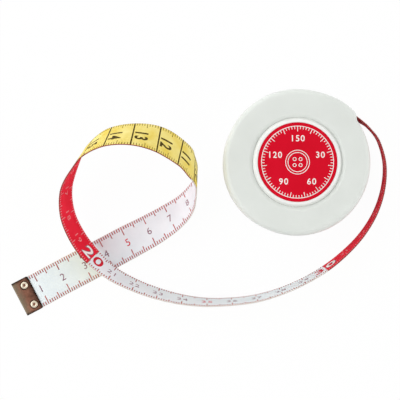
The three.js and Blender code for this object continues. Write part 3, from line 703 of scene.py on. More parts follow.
def digit_outline(digit, weight):
    """Points and faces of one digit, cut into slices both ways and scaled: (point - centre) / height, where
    the height is that of the digit before its outline grew by the weight."""
    text = bpy.data.curves.new("digit", "FONT")
    text.body = digit
    text.offset = weight
    holder = bpy.data.objects.new("digit", text)
    bpy.context.scene.collection.objects.link(holder)
    flat = bpy.data.meshes.new_from_object(holder.evaluated_get(bpy.context.evaluated_depsgraph_get()))
    bpy.data.objects.remove(holder)
    work = bmesh.new()
    work.from_mesh(flat)
    bmesh.ops.remove_doubles(work, verts=work.verts, dist=DIGIT_MERGE)
    work.to_mesh(flat)
    low, high = points_of(flat).min(axis=0), points_of(flat).max(axis=0)
    for axis in range(2):
        normal = np.eye(3)[axis]
        for share in np.arange(1, DIGIT_SLICES) / DIGIT_SLICES:
            everything = work.verts[:] + work.edges[:] + work.faces[:]
            cut = low + (high - low) * share
            bmesh.ops.bisect_plane(work, geom=everything, plane_co=cut, plane_no=normal)
    work.to_mesh(flat)
    work.free()
    points = (points_of(flat) - (low + high) / 2)[:, :2] / ((high - low)[1] - 2 * weight)
    way = -1 if flat.polygons[0].normal.z < 0 else 1
    faces = [list(face.vertices)[::way] for face in flat.polygons]
    bpy.data.meshes.remove(flat)
    return points, faces


WEIGHTS = (PLAIN, BOLD, STOUT, HALO)
DIGITS = {(digit, weight): digit_outline(digit, weight) for digit in "0123456789" for weight in WEIGHTS}


class Print:
    """Flat print: points and faces gathered shape by shape, with the ink of each face."""

    def __init__(self):
        """Starts with no shapes."""
        self.points, self.faces, self.inks, self.count = [], [], [], 0

    def add(self, points, faces, ink=0):
        """Takes in one shape, whose corners count on from the points that are already there."""
        self.points.append(points)
        self.faces += [[corner + self.count for corner in face] for face in faces]
        self.inks += [ink] * len(faces)
        self.count += len(points)

    def piece(self, name, inks, body, slot, thickness):
        """The gathered print as an object, with its film of ink grown down onto the surface below."""
        mesh = new_mesh(name, np.vstack(self.points), self.faces)
        mesh.polygons.foreach_set("material_index", self.inks)
        made = new_piece(mesh, inks, body)
        film = made.modifiers.new("film", "SOLIDIFY")
        film.thickness = thickness
        film.offset = -1
        return made


def number_shapes(number, weight, narrow=1.0):
    """Each digit's points and faces, set side by side and centred: x shifts by one advance per digit, then
    all of x is made narrower by the share given."""
    text = str(number)
    places = (np.arange(len(text)) - (len(text) - 1) / 2) * DIGIT_ADVANCE
    drawn = [DIGITS[digit, weight] for digit in text]
    return [((points + [place, 0]) * [narrow, 1], faces) for place, (points, faces) in zip(places, drawn)]


print("digits:", len(DIGITS), "outlines,", sum(len(faces) for points, faces in DIGITS.values()), "faces")

# %% [markdown]
# ## The scale on the front
# Millimetre ticks run along both edges, longer at five and longest at ten. On white they are brown and on
# red they are rose. Every centimetre has its number in the middle, read along the tape, and each full ten
# is large and stands across the change of colour, with one digit in each block; the one on red is white
# with a dark outline. Nodes could paint the ticks but hardly the numbers, so all of it is laid on as film
# by the tape's own measures.

# %% Front scale
FILM = 0.03 * MM
TICK_WIDTH = 0.4 * MM
TICK_INSET = 0.15 * MM
TICK_LENGTHS = (1.4 * MM, 2.5 * MM, 3.6 * MM)
NUMBER_HEIGHT = 2.9 * MM
TEN_HEIGHT = 6.6 * MM
CLIP_LENGTH = 7.4 * MM
FIRST_TICK = math.ceil(CLIP_LENGTH / MM)
LAST_TICK = int(ALONG[-1] / MM) - 1
LAST_NUMBER = int(ALONG[-1] / MM / 10)
CENTIMETRE = 10 * MM
FRONT_INKS = [INK_BROWN, INK_PLUM, INK_ROSE, INK_RED, INK_WHITE]
BROWN, PLUM, ROSE, RED, WHITE = range(len(FRONT_INKS))


def tick_marks(first, last):
    """Millimetres from first to last with their tick lengths: short, longer at fives, longest at tens."""
    marks = np.arange(first, last + 1)
    length = np.choose((marks % 5 == 0).astype(int) + (marks % 10 == 0), TICK_LENGTHS)
    return marks * MM, length


def tick_quads(along, width, start, end, lift):
    """One quad per tick: along -+ half its width, across from start to end."""
    sides = along[:, None] + np.array([-1, 1, 1, -1]) * width / 2
    reach = np.stack([start, start, end, end], axis=-1)
    points = on_tape(sides, reach, lift).reshape(-1, 3)
    return points, np.arange(len(points)).reshape(-1, 4)


def edge_ticks(along, length, width, lift):
    """For each edge of the tape, the ticks from there inwards by their lengths, facing the side that the
    lift is on."""
    for side in (-1, 1):
        start = np.full_like(length, side * (TAPE_WIDTH / 2 - TICK_INSET))
        points, faces = tick_quads(along, width, start, start - side * length, lift)
        yield points, faces if side * lift > 0 else faces[:, ::-1]


def is_red_block(along):
    """Whether the length along, less whole times 20 cm, is in the second 10 cm."""
    return along / MM % (BLOCK * 2) >= BLOCK


def front_scale():
    """Ticks from both edges, and each number at its centimetre: x along the tape, minus y across it. A
    digit of a full ten that is on red has a dark outline below it."""
    scale = Print()
    lift = TAPE_THICKNESS / 2 + FILM
    along, length = tick_marks(FIRST_TICK, LAST_TICK)
    for points, faces in edge_ticks(along, length, TICK_WIDTH, lift):
        for red in (False, True):
            kept = faces[is_red_block(along) == red]
            scale.add(points, kept.tolist(), ROSE if red else BROWN)

    def write(number, weight, height, inks, level):
        """Lays down one number, each digit in the ink for the block that its middle is in."""
        for points, faces in number_shapes(number, weight):
            place = number * CENTIMETRE + points[:, 0] * height
            ink_here = inks[int(is_red_block(place.mean()))]
            if ink_here is not None:
                scale.add(on_tape(place, -points[:, 1] * height, level), faces, ink_here)

    for number in range(1, LAST_NUMBER + 1):
        if number % 10 == 0:
            write(number, HALO, TEN_HEIGHT, (None, PLUM), lift)
            write(number, BOLD, TEN_HEIGHT, (RED, WHITE), lift + FILM)
        else:
            write(number, PLAIN, NUMBER_HEIGHT, (RED if number % 5 == 0 else PLUM, ROSE), lift)
    return scale


front_print = front_scale().piece("tape_scale_front", FRONT_INKS, "case", "tape_cloth", FILM)

# %% [markdown]
# ## The scale on the back
# On the yellow side every centimetre is a dark line right across, with its number standing sideways just
# before it and fine olive ticks along both edges. The back is printed in a second pass, a little off the
# front. It could have a way of its own to be made, but the front's functions serve again, with the film
# below the tape and its faces turned over.

# %% Back scale
BACK_SHIFT = -1.5 * MM
BACK_NUMBER_HEIGHT = 4.6 * MM
BACK_NUMBER_GAP = 3.3 * MM
BACK_NUMBER_NARROW = 0.74
BACK_NUMBER_ACROSS = 0.5 * MM
BACK_LINE_WIDTH = 0.55 * MM
BACK_TICK_WIDTH = 0.26 * MM
FIRST_BACK_TICK = FIRST_TICK + 2
FIRST_BACK_NUMBER = 2
BACK_INKS = [INK_OLIVE, INK_UMBER]
OLIVE, UMBER = range(len(BACK_INKS))


def back_scale():
    """Ticks from both edges, lines right across at whole centimetres, and each number a gap before its line
    and turned a quarter: x across the tape, minus y along it."""
    scale = Print()
    lift = -(TAPE_THICKNESS / 2 + FILM)
    along, length = tick_marks(FIRST_BACK_TICK, LAST_TICK)
    whole = along / MM % 10 == 0
    for points, faces in edge_ticks(along[~whole] + BACK_SHIFT, length[~whole], BACK_TICK_WIDTH, lift):
        scale.add(points, faces.tolist(), OLIVE)
    start = np.full(np.count_nonzero(whole), TICK_INSET - TAPE_WIDTH / 2)
    points, faces = tick_quads(along[whole] + BACK_SHIFT, BACK_LINE_WIDTH, start, -start, lift)
    scale.add(points, faces.tolist(), UMBER)
    for number in range(FIRST_BACK_NUMBER, LAST_NUMBER + 1):
        for points, faces in number_shapes(number, STOUT, BACK_NUMBER_NARROW):
            middle = number * CENTIMETRE + BACK_SHIFT - BACK_NUMBER_GAP
            place = middle - points[:, 1] * BACK_NUMBER_HEIGHT
            across = BACK_NUMBER_ACROSS + points[:, 0] * BACK_NUMBER_HEIGHT
            scale.add(on_tape(place, across, lift), faces, UMBER)
    return scale


back_print = back_scale().piece("tape_scale_back", BACK_INKS, "case", "tape_cloth", FILM)

# %% [markdown]
# ## The clip
# A strip of bronzed sheet is folded round the end of the tape. A bent plane with a thickness would come
# close, but its rims would be square. Here the section is a long U with round lips; carried across the
# tape, with the sheet thinning to a rounded rim at both sides, it gives the whole clip. The distance of
# each point from the nearest rim, lip or rivet is kept, because the colour is painted dark there: painted
# shade along the lip, a painted shadow round the rivets, and darker towards the side rims. So is its
# distance from the fold, where a painted reflection turns it a duller olive.

# %% Clip
CLIP_WIDTH = 14.4 * MM
CLIP_SHEET = 0.25 * MM
CLIP_CORNER = 0.9 * MM
CLIP_RIM = 0.12 * MM
CLIP_ROWS = 81
CLIP_CROWDING = 1.6
PLATE_STEPS = 24
FOLD_STEPS = 13
CLIP_LIP_STEPS = 7
# Painted shade: how far the dark rim colour spreads from the lip and round each rivet.
LIP_SHADE_SPREAD = 0.42
RIVET_SHADOW_SPREAD = 1.8
RIVET_SETBACK = 4.7 * MM
RIVET_SPREAD = 8.6 * MM
RIVET_HEAD = 1.5 * MM
CLIP_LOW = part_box("end_clip")[0].z
CLIP_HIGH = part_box("end_clip")[1].z
CLIP_HEADING = unit(MIDDLE[1] - MIDDLE[0])
TAPE_END = MIDDLE[0] - CLIP_REACH * CLIP_HEADING
CLIP_TURN = math.atan2(CLIP_HEADING[1], CLIP_HEADING[0])


def on_clip(points):
    """Places in the clip's own measures, x along the tape and y across it, turned and moved to the tape's
    end: (x cos a - y sin a, x sin a + y cos a, z) + end."""
    x, y, z = np.moveaxis(points, -1, 0)
    cosine = math.cos(CLIP_TURN)
    sine = math.sin(CLIP_TURN)
    turned = [x * cosine - y * sine, x * sine + y * cosine, z]
    return np.stack(turned, axis=-1) + [TAPE_END[0], TAPE_END[1], 0]


def clip_mesh():
    """Sheet middle: straight in along the floor, half a circle round the fold, straight out along the roof.
    The two faces of the sheet lie half its thickness to either side; at the sides that half shrinks as a
    quarter circle. Rows crowd towards the sides: y is 1 - (1 - |s|)^1.6 of half the width."""
    half = CLIP_SHEET / 2
    fold = (CLIP_HIGH - CLIP_LOW) / 2
    side = np.linspace(-1, 1, CLIP_ROWS)
    y = np.sign(side) * (1 - (1 - np.abs(side)) ** CLIP_CROWDING) * CLIP_WIDTH / 2
    inset = CLIP_WIDTH / 2 - np.abs(y)
    corner = np.maximum(CLIP_CORNER - inset, 0)
    length = CLIP_LENGTH - (CLIP_CORNER - np.sqrt(CLIP_CORNER**2 - corner**2))
    share = np.linspace(1, 0, PLATE_STEPS)
    turn = np.radians(np.linspace(270, 90, FOLD_STEPS)[1:-1])
    straight = fold + (length[:, None] - fold - half) * share
    bend = np.broadcast_to(fold + (fold - half) * np.cos(turn), (CLIP_ROWS, len(turn)))
    x = np.concatenate([straight, bend, straight[:, ::-1]], axis=1)
    middle = CLIP_LOW + fold
    floor = np.full(PLATE_STEPS, CLIP_LOW + half)
    roof = np.full(PLATE_STEPS, CLIP_HIGH - half)
    z = np.concatenate([floor, middle + (fold - half) * np.sin(turn), roof])
    out_x = np.concatenate([np.zeros(PLATE_STEPS), np.cos(turn), np.zeros(PLATE_STEPS)])
    out_z = np.concatenate([-np.ones(PLATE_STEPS), np.sin(turn), np.ones(PLATE_STEPS)])
    thick = half * np.sqrt(1 - np.clip(1 - inset / CLIP_RIM, 0, 1) ** 2)[:, None]
    lip = np.radians(np.linspace(90, -90, CLIP_LIP_STEPS)[1:-1])
    lip_x = length[:, None] - half + thick * np.cos(lip)
    roof_lip = CLIP_HIGH - half + thick * np.sin(lip)
    floor_lip = CLIP_LOW + half + thick * np.sin(lip)
    ring_x = np.concatenate([x + thick * out_x, lip_x, (x - thick * out_x)[:, ::-1], lip_x], axis=1)
    ring_z = np.concatenate([z + thick * out_z, roof_lip, (z - thick * out_z)[:, ::-1], floor_lip], axis=1)
    ring_y = np.broadcast_to(y[:, None], ring_x.shape)
    # rim_mm says where the colour is painted dark: painted shade from the lip, painted shadow round the
    # rivets.
    from_lip = (length[:, None] - ring_x) * LIP_SHADE_SPREAD
    from_rivet = np.hypot(ring_x - RIVET_SETBACK, np.abs(ring_y) - RIVET_SPREAD / 2) - RIVET_HEAD
    rim = np.minimum(np.minimum(inset[:, None], from_lip), np.abs(from_rivet) * RIVET_SHADOW_SPREAD) / MM
    points = on_clip(np.stack([ring_x, ring_y, ring_z], axis=-1))
    measures = {"rim_mm": rim, "fold_mm": ring_x / MM}
    faces = grid_faces(*ring_x.shape, close_columns=True)
    return close_up(new_mesh("end_clip_sheet", points, faces, measures))


clip = new_piece(clip_mesh(), [CLIP_BRONZE], "case", ["end_clip"])

# %% [markdown]
# ## The rivets
# Each rivet is a hollow one: its upper end is rolled over into a ring round a hole, and shade is painted
# into the hole and onto the ring's flanks, so only the ring's crown stays bright. A ring set on a short
# tube would look alike, but the two surfaces would cross. A profile with round corners, turned about the
# rivet's axis, gives foot, shank and ring at once.

# %% Rivets
RIVET_STEPS = 48
RIVET_HOLE = 0.5 * MM
RIVET_SHANK = 0.9 * MM
RIVET_DEPTH = 0.9 * MM
RIVET_ROUND = 0.1 * MM
RIVET_FOOT = 0.2 * MM
RIVET_ROLL = 0.3 * MM
RIVET_BRIGHT = 0.8
CROWN_STEPS = 17
FOOT_STEPS = 7


def rivet_mesh(node):
    """Half a profile from the lower pole, round the foot, up the shank, over the rolled ring and into the
    hole, turned about the rivet's axis. The ring is half an ellipse over its middle radius."""
    low, high = (np.array(corner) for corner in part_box(node))
    centre = (low + high) / 2
    radius = (high - low)[0] / 2
    top = high[2]
    shoulder = top - RIVET_ROLL
    ring = (RIVET_HOLE + radius) / 2
    swell = (radius - RIVET_HOLE) / 2
    crown = arc((0, 0), 1, 0, 180, CROWN_STEPS) * [swell, RIVET_ROLL] + [ring, shoulder]
    profile = np.vstack([
        [(0, 0)],
        arc((radius - RIVET_ROUND, RIVET_ROUND), RIVET_ROUND, -90, 90, FOOT_STEPS),
        [(RIVET_SHANK, RIVET_FOOT), (RIVET_SHANK, shoulder)],
        crown,
        [(RIVET_HOLE, top - RIVET_DEPTH), (0, top - RIVET_DEPTH)],
    ])
    points, faces = lathe(profile, RIVET_STEPS)
    points = points + [centre[0], centre[1], 0]
    # Painted shade: all but the middle of the ring's crown, the hole included, takes the dark rim colour.
    bright = np.abs(profile[:, 0] - ring) < swell * RIVET_BRIGHT
    rim = np.where(bright & (profile[:, 1] > shoulder), 1.0, 0.0)
    return close_up(new_mesh(node + "_ring", points, faces, {"rim_mm": np.tile(rim, RIVET_STEPS)}))


rivets = [
    new_piece(rivet_mesh(node), [RIVET_NICKEL], "case", [node])
    for node in ("clip_rivet_1", "clip_rivet_2")
]

# %% [markdown]
# ## The free tape
# The free tape is limp and keeps its length, however it lies.

# %% [markdown]
# ## Tape inside the case
# The tape runs on through the mouth, round the inside of the wall and onto the spool. A plain ring could
# stand for it, since the case hides nearly all of it, but then its length would be wrong. So it is the
# same strip on two other routes: one whose radius closes in over a little more than half a turn, and a
# spiral wound on the drum.

# %% Wound tape
LIP_ANGLE = 40.0
LEAD_TURN = 200.0
LEAD_OUTER = 26.4 * MM
LEAD_INNER = 24.0 * MM
LEAD_RISE = 2.3 * MM
LEAD_START = 0.5
LEAD_STEPS = 160
CHANNEL_END = 70.0
WINDING_OUTER = 23.1 * MM
WINDING_INNER = 16.0 * MM
WINDING_PITCH = 0.84 * MM
WINDING_STEPS = 60
TAPE_TOP = 17.0 * MM


def lead_radius(degrees):
    """Radius inside the mouth: falls steadily from outer to inner, plus a rise in the channel along the
    lip."""
    share = (degrees - LIP_ANGLE) / LEAD_TURN
    in_channel = np.maximum(0, (CHANNEL_END - degrees) / (CHANNEL_END - LIP_ANGLE))
    return LEAD_OUTER + (LEAD_INNER - LEAD_OUTER) * share + LEAD_RISE * in_channel**2


def upright_strip(name, degrees, radius, along_start, before=None):
    """A strip standing upright at (radius, angle): the direction across it is up, and its front is towards
    the axis. It may start from the middle and front before it. Also gives the length along at its end."""
    outward = about_axis(1.0, np.radians(degrees), 0.0)
    middle = outward * radius[:, None] + UP * (TAPE_TOP - TAPE_WIDTH / 2)
    front = -outward
    if before is not None:
        middle = np.vstack([before[0], middle])
        front = np.vstack([before[1], front])
    along = along_start + run_length(middle)
    across = np.broadcast_to(UP, middle.shape)
    return strip_mesh(name, middle, across, front, along), along[-1]


lead_degrees = np.linspace(LIP_ANGLE + LEAD_START, LIP_ANGLE + LEAD_TURN, LEAD_STEPS)
lead_mesh, lead_end = upright_strip("tape_lead_in_strip", lead_degrees, lead_radius(lead_degrees),
                                    ALONG[-1], (MIDDLE[-1], FRONT[-1]))
new_piece(lead_mesh, TAPE_FINISHES, "case", ["tape_lead_in"])

turns = (WINDING_OUTER - WINDING_INNER) / WINDING_PITCH
turned = np.linspace(0, turns, int(turns * WINDING_STEPS))
winding_mesh, winding_end = upright_strip("tape_winding_strip", LIP_ANGLE + LEAD_TURN + turned * 360,
                                          WINDING_OUTER - turned * WINDING_PITCH, lead_end)
new_piece(winding_mesh, TAPE_FINISHES, "spool", ["tape_winding"])
print("tape in all:", round(winding_end, 3), "m")

# %% [markdown]
# ## The case
# The case is two shells that meet half way up, each a profile carried round the axis. Three things change
# on the way round: the outside swells into the lip of the mouth, the inside follows the tape's channel
# along that lip, and the wall is missing between lip and tongue. A boolean could cut the mouth out of a
# turned shell, but it leaves sharp edges. Instead, where the wall ends, its inner and outer faces draw
# together to a rounded nose, so a single grid makes the whole shell.

# %% Wall round the case
CASE_RADIUS = 28.5 * MM
CASE_INNER = 26.9 * MM
CASE_EDGE = 2.2 * MM
LIP_RISE = 1.3 * MM
LIP_FOOT = 35.0
LIP_BLEND = 80.0
TONGUE_ANGLE = 30.0
MOUTH_LOW = 2.7 * MM
MOUTH_HIGH = 17.3 * MM
CHANNEL_GAP = 0.5 * MM
LIP_NOSE = 0.7
TONGUE_NOSE = 1.7
NOSE_STEPS = 8
RUN_STEPS = 300
MOUTH_STEPS = 13
SEAM_ROUND = 0.25 * MM
SEAM_TURNS = np.radians([67.5, 45, 22.5, 0])


def outer_radius(degrees):
    """Round, with the lip: a straight rise from its foot, then a smooth fall, 3 s^2 - 2 s^3, to the
    blend."""
    rise = np.clip((degrees - LIP_FOOT) / (LIP_ANGLE - LIP_FOOT), 0, 1)
    s = np.clip((LIP_BLEND - degrees) / (LIP_BLEND - LIP_ANGLE), 0, 1)
    return CASE_RADIUS + LIP_RISE * np.where(degrees <= LIP_ANGLE, rise, s * s * (3 - 2 * s))


def wall_columns():
    """Angles from the lip's nose once round to the tongue's nose and on across the mouth, with the outside,
    the inside and the squeezed wall at each. Near a nose the half thickness falls off as a quarter
    circle."""
    ease = 1 - np.cos(np.linspace(0, math.pi / 2, NOSE_STEPS))
    lip = LIP_ANGLE + LIP_NOSE * ease
    tongue = 360 + TONGUE_ANGLE - TONGUE_NOSE * ease[::-1]
    run = np.linspace(LIP_ANGLE + LIP_NOSE, 360 + TONGUE_ANGLE - TONGUE_NOSE, RUN_STEPS)[1:-1]
    mouth = np.linspace(360 + TONGUE_ANGLE, 360 + LIP_ANGLE, MOUTH_STEPS)
    degrees = np.concatenate([lip, run, tongue, mouth])
    in_mouth = np.arange(len(degrees)) >= len(degrees) - len(mouth)
    around = np.where(degrees > 360, degrees - 360, degrees)
    outside = outer_radius(around)
    in_channel = (around >= LIP_ANGLE) & (around <= CHANNEL_END)
    inside = np.maximum(CASE_INNER, np.where(in_channel, lead_radius(around) + CHANNEL_GAP, 0))
    from_nose = np.minimum((degrees - LIP_ANGLE) / LIP_NOSE, (360 + TONGUE_ANGLE - degrees) / TONGUE_NOSE)
    full = np.sqrt(1 - (1 - np.clip(from_nose, 0, 1)) ** 2)
    middle = (outside + inside) / 2
    half = (outside - inside) / 2 * np.where(in_mouth, 0, full)
    return degrees, in_mouth, outside, np.where(in_mouth, CASE_INNER, inside), middle - half, middle + half


WALL_DEGREES, IN_MOUTH, OUTSIDE, INSIDE, WALL_IN, WALL_OUT = wall_columns()
print("columns round the case:", len(WALL_DEGREES), "with", np.count_nonzero(IN_MOUTH), "in the mouth")


class Profile:
    """A closed profile that varies round the case: each step adds points of (radius, height), either of
    them one number or a number for each column."""

    def __init__(self):
        """Starts with no points."""
        self.radius, self.height = [], []

    def to(self, radius, height):
        """One more point of the profile in every column."""
        self.radius.append(np.broadcast_to(radius, WALL_DEGREES.shape))
        self.height.append(np.broadcast_to(height, WALL_DEGREES.shape))
        return self

    def along(self, points, radius=0.0):
        """Points of (radius, height) one after the other, with a radius added to each."""
        for r, z in points:
            self.to(radius + r, z)
        return self

    def wall(self, mouth, step_top, step_out, rim, way):
        """The wall from its inside over the step and the rim to its outside, the rim's outer edge a quarter
        circle that bends down for a way of -1 and up for 1. All of it shrinks to the mouth's level where
        that is open."""
        rounded = np.minimum(SEAM_ROUND, (WALL_OUT - step_out) / 2)
        bend = way * np.where(IN_MOUTH, 0, rounded)
        self.to(INSIDE, mouth).to(WALL_IN, mouth).to(WALL_IN, step_top)
        self.to(step_out, step_top).to(step_out, rim).to(WALL_OUT - rounded, rim)
        for turn in SEAM_TURNS:
            self.to(WALL_OUT - rounded * (1 - math.cos(turn)), rim + bend * (1 - math.sin(turn)))
        return self.to(WALL_OUT, mouth).to(OUTSIDE, mouth)

    def mesh(self, name):
        """Every column set at its own angle about the axis, and all of them joined to a closed grid."""
        radius = np.stack(self.radius, axis=1)
        points = about_axis(radius, np.radians(WALL_DEGREES)[:, None], np.stack(self.height, axis=1))
        faces = grid_faces(*radius.shape, close_rows=True, close_columns=True)
        return close_up(new_mesh(name, points, faces))


# %% [markdown]
# The rear shell is the tub that lies on the table: flat below, with a recess for the arbor's screw, a boss
# inside and a thin tongue on its rim that the front shell slips over. Its outer corners could be bevelled
# afterwards, but it is simpler to draw them round in the profile. The two edges at the seam are rounded
# too, which makes the seam read as a fine line.

# %% Rear shell
SEAM = 10.0 * MM
SEAM_GAP = 0.2 * MM
FLOOR = 1.6 * MM
BOSS_TOP = 3.0 * MM
BOSS_RADIUS = 5.0 * MM
SCREW_HOLE = 1.4 * MM
SCREW_RECESS = 2.6 * MM
RECESS_TOP = 1.35 * MM
TONGUE_WIDTH = 0.7 * MM
TONGUE_HEIGHT = 1.2 * MM
CORNER_STEPS = 15
SMALL_STEPS = 5
FULL_WALL = 0.98


def rear_shell_mesh():
    """Profile from the screw hole over boss, floor, inner wall, tongue, rim and outer wall back under to
    the recess. The tongue is left out where the wall narrows to a nose."""
    rim = np.where(IN_MOUTH, MOUTH_LOW, SEAM - SEAM_GAP / 2)
    nosed = IN_MOUTH | (WALL_OUT - WALL_IN < FULL_WALL * (OUTSIDE - INSIDE))
    tongue_top = np.where(nosed, rim, SEAM + TONGUE_HEIGHT)
    tongue_out = np.clip(CASE_INNER + TONGUE_WIDTH, WALL_IN, WALL_OUT)
    shape = Profile().to(SCREW_HOLE, RECESS_TOP).to(SCREW_HOLE, BOSS_TOP)
    shape.to(BOSS_RADIUS, BOSS_TOP).to(BOSS_RADIUS, FLOOR).to(INSIDE, FLOOR)
    shape.wall(MOUTH_LOW, tongue_top, tongue_out, rim, way=-1)
    shape.along(arc((-CASE_EDGE, CASE_EDGE), CASE_EDGE, 0, -90, CORNER_STEPS), OUTSIDE)
    shape.along(arc((SCREW_RECESS + SEAM_ROUND, SEAM_ROUND), SEAM_ROUND, -90, -180, SMALL_STEPS))
    shape.to(SCREW_RECESS, RECESS_TOP)
    return shape.mesh("rear_shell_body")


new_piece(rear_shell_mesh(), [CASE_PLASTIC], "case", ["rear_shell"])

# %% [markdown]
# The front shell is the lid: a flat face with a wide round opening for the button, dished round its edge,
# and two rings inside that guide the tape. Its wall has a step that the rear shell's tongue fits into. It
# could be the rear shell mirrored and cut, but a profile of its own is shorter, because one function draws
# the wall of both shells and only the step is given.

# %% Front shell
CASE_TOP = 20.0 * MM
CEILING = 18.4 * MM
OPENING = 17.3 * MM
DISH = 18.7 * MM
DISH_DEPTH = 0.5 * MM
DISH_ROUND = 0.5 * MM
GUIDE_RINGS = ((17.9 * MM, 19.1 * MM), (23.3 * MM, 24.5 * MM))
GUIDE_LOW = 17.3 * MM
STEP_GAP = 0.3 * MM


def front_shell_mesh():
    """Profile from the opening out along the ceiling and its rings, down the inner wall, round the rim, up
    the outer wall and over the rounded edge back to the dish, whose slope is depth over width."""
    rim = np.where(IN_MOUTH, MOUTH_HIGH, SEAM + SEAM_GAP / 2)
    step_top = np.where(IN_MOUTH, MOUTH_HIGH, SEAM + TONGUE_HEIGHT + STEP_GAP)
    step_out = np.clip(CASE_INNER + TONGUE_WIDTH + STEP_GAP, WALL_IN, WALL_OUT)
    shape = Profile().to(OPENING, CEILING)
    for inner, outer in GUIDE_RINGS:
        shape.to(inner, CEILING).to(inner, GUIDE_LOW).to(outer, GUIDE_LOW).to(outer, CEILING)
    shape.to(INSIDE, CEILING).wall(MOUTH_HIGH, step_top, step_out, rim, way=1)
    shape.along(arc((-CASE_EDGE, CASE_TOP - CASE_EDGE), CASE_EDGE, 0, 90, CORNER_STEPS), OUTSIDE)
    slope = 90 + math.degrees(math.atan2(DISH_DEPTH, DISH - OPENING))
    dish_rim = (DISH + DISH_ROUND / 4, CASE_TOP - DISH_ROUND)
    opening_rim = (OPENING + SEAM_ROUND, CASE_TOP - DISH_DEPTH - SEAM_ROUND)
    shape.along(arc(dish_rim, DISH_ROUND, 90, slope, SMALL_STEPS))
    shape.along(arc(opening_rim, SEAM_ROUND, slope, 180, SMALL_STEPS))
    return shape.mesh("front_shell_body")


new_piece(front_shell_mesh(), [CASE_PLASTIC], "case", ["front_shell"])

# %% [markdown]
# ## The button
# The button is a thin round plate with a rounded rim, a shallow seat for its red disc, a low skirt that
# nearly fills the opening, and a stem below that carries the brake. Plate, skirt and stem could be three
# pieces, but they are moulded as one, so one profile is turned. The key that keeps it from turning is a
# small block on the stem.

# %% Button
TURN_STEPS = 192
BUTTON_RADIUS = 16.8 * MM
BUTTON_EDGE = 0.75 * MM
BUTTON_LOW = 18.9 * MM
SKIRT_RADIUS = 17.25 * MM
SKIRT_TOP = 19.4 * MM
BUTTON_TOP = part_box("push_button")[1].z
STEM_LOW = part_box("push_button")[0].z
STEM_RADIUS = 1.9 * MM
STEM_BOSS = 4.8 * MM
STEM_BOSS_LOW = 15.2 * MM
GROOVE_RADIUS = 1.5 * MM
GROOVE = (13.8 * MM, 14.3 * MM)
SEAT_RADIUS = 15.4 * MM
SEAT_DEPTH = 0.35 * MM
SEAT_ROUND = 0.12 * MM
EDGE_ARC_STEPS = 11
KEY_REACH = 2.9 * MM
KEY_WIDTH = 0.8 * MM
KEY_TOP = 12.0 * MM


def button_mesh():
    """Half a profile from the stem's pole up past ring groove and boss, round the plate's rim and into the
    seat, turned about the axis, with the key's eight corners after it."""
    fillet = SKIRT_RADIUS - BUTTON_RADIUS
    profile = np.vstack([
        [(0, STEM_LOW), (STEM_RADIUS, STEM_LOW), (STEM_RADIUS, GROOVE[0]), (GROOVE_RADIUS, GROOVE[0])],
        [(GROOVE_RADIUS, GROOVE[1]), (STEM_RADIUS, GROOVE[1]), (STEM_RADIUS, STEM_BOSS_LOW)],
        [(STEM_BOSS, STEM_BOSS_LOW), (STEM_BOSS, BUTTON_LOW)],
        [(SKIRT_RADIUS, BUTTON_LOW), (SKIRT_RADIUS, SKIRT_TOP)],
        arc((SKIRT_RADIUS, SKIRT_TOP + fillet), fillet, 270, 180, SMALL_STEPS),
        arc((BUTTON_RADIUS - BUTTON_EDGE, BUTTON_TOP - BUTTON_EDGE), BUTTON_EDGE, 0, 90, EDGE_ARC_STEPS),
        arc((SEAT_RADIUS + SEAT_ROUND, BUTTON_TOP - SEAT_ROUND), SEAT_ROUND, 90, 180, SMALL_STEPS),
        [(SEAT_RADIUS, BUTTON_TOP - SEAT_DEPTH), (0, BUTTON_TOP - SEAT_DEPTH)],
    ])
    plate, plate_faces = lathe(profile, TURN_STEPS)
    plate = plate.reshape(-1, 3)
    key_x = (-KEY_REACH, -STEM_RADIUS / 2)
    key_y = (-KEY_WIDTH / 2, KEY_WIDTH / 2)
    key_z = (STEM_LOW, KEY_TOP)
    corners = np.stack(np.meshgrid(key_x, key_y, key_z, indexing="ij"), axis=-1).reshape(-1, 3)
    sides = np.array([(0, 1, 3, 2), (4, 6, 7, 5), (0, 4, 5, 1), (2, 3, 7, 6), (0, 2, 6, 4), (1, 5, 7, 3)])
    points = np.vstack([plate, corners])
    # rim_mm, counted in from the skirt, places the painted groove shade.
    rim = (SKIRT_RADIUS - np.hypot(points[:, 0], points[:, 1])) / MM
    faces = np.vstack([plate_faces, sides + len(plate)])
    return close_up(new_mesh("push_button_body", points, faces, {"rim_mm": rim}))


new_piece(button_mesh(), [BUTTON_PLASTIC], "button", ["push_button"])

# %% [markdown]
# The red disc lies in the button's seat. Its print is a plain round scale in white with a sewing button
# drawn in the middle. Nodes could draw its rings and ticks, but the numbers are shapes anyway, so all of
# them are flat shapes in the plane of the disc, laid on as a film of ink as on the tape.

# %% Red disc
LABEL_RADIUS = 15.3 * MM
LABEL_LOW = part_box("button_label")[0].z
LABEL_ROUND = 0.08 * MM
LABEL_ROWS = 12


def label_mesh():
    """Half a profile of a thin disc with a rounded upper edge, turned about the axis."""
    profile = np.vstack([
        [(0, LABEL_LOW), (LABEL_RADIUS, LABEL_LOW)],
        arc((LABEL_RADIUS - LABEL_ROUND, BUTTON_TOP - LABEL_ROUND), LABEL_ROUND, 0, 90, SMALL_STEPS),
        [(radius, BUTTON_TOP) for radius in np.linspace(LABEL_RADIUS - 2 * LABEL_ROUND, 0, LABEL_ROWS)],
    ])
    return close_up(new_mesh("button_label_disc", *lathe(profile, TURN_STEPS)))


new_piece(label_mesh(), [LABEL_RED], "button", ["button_label"])

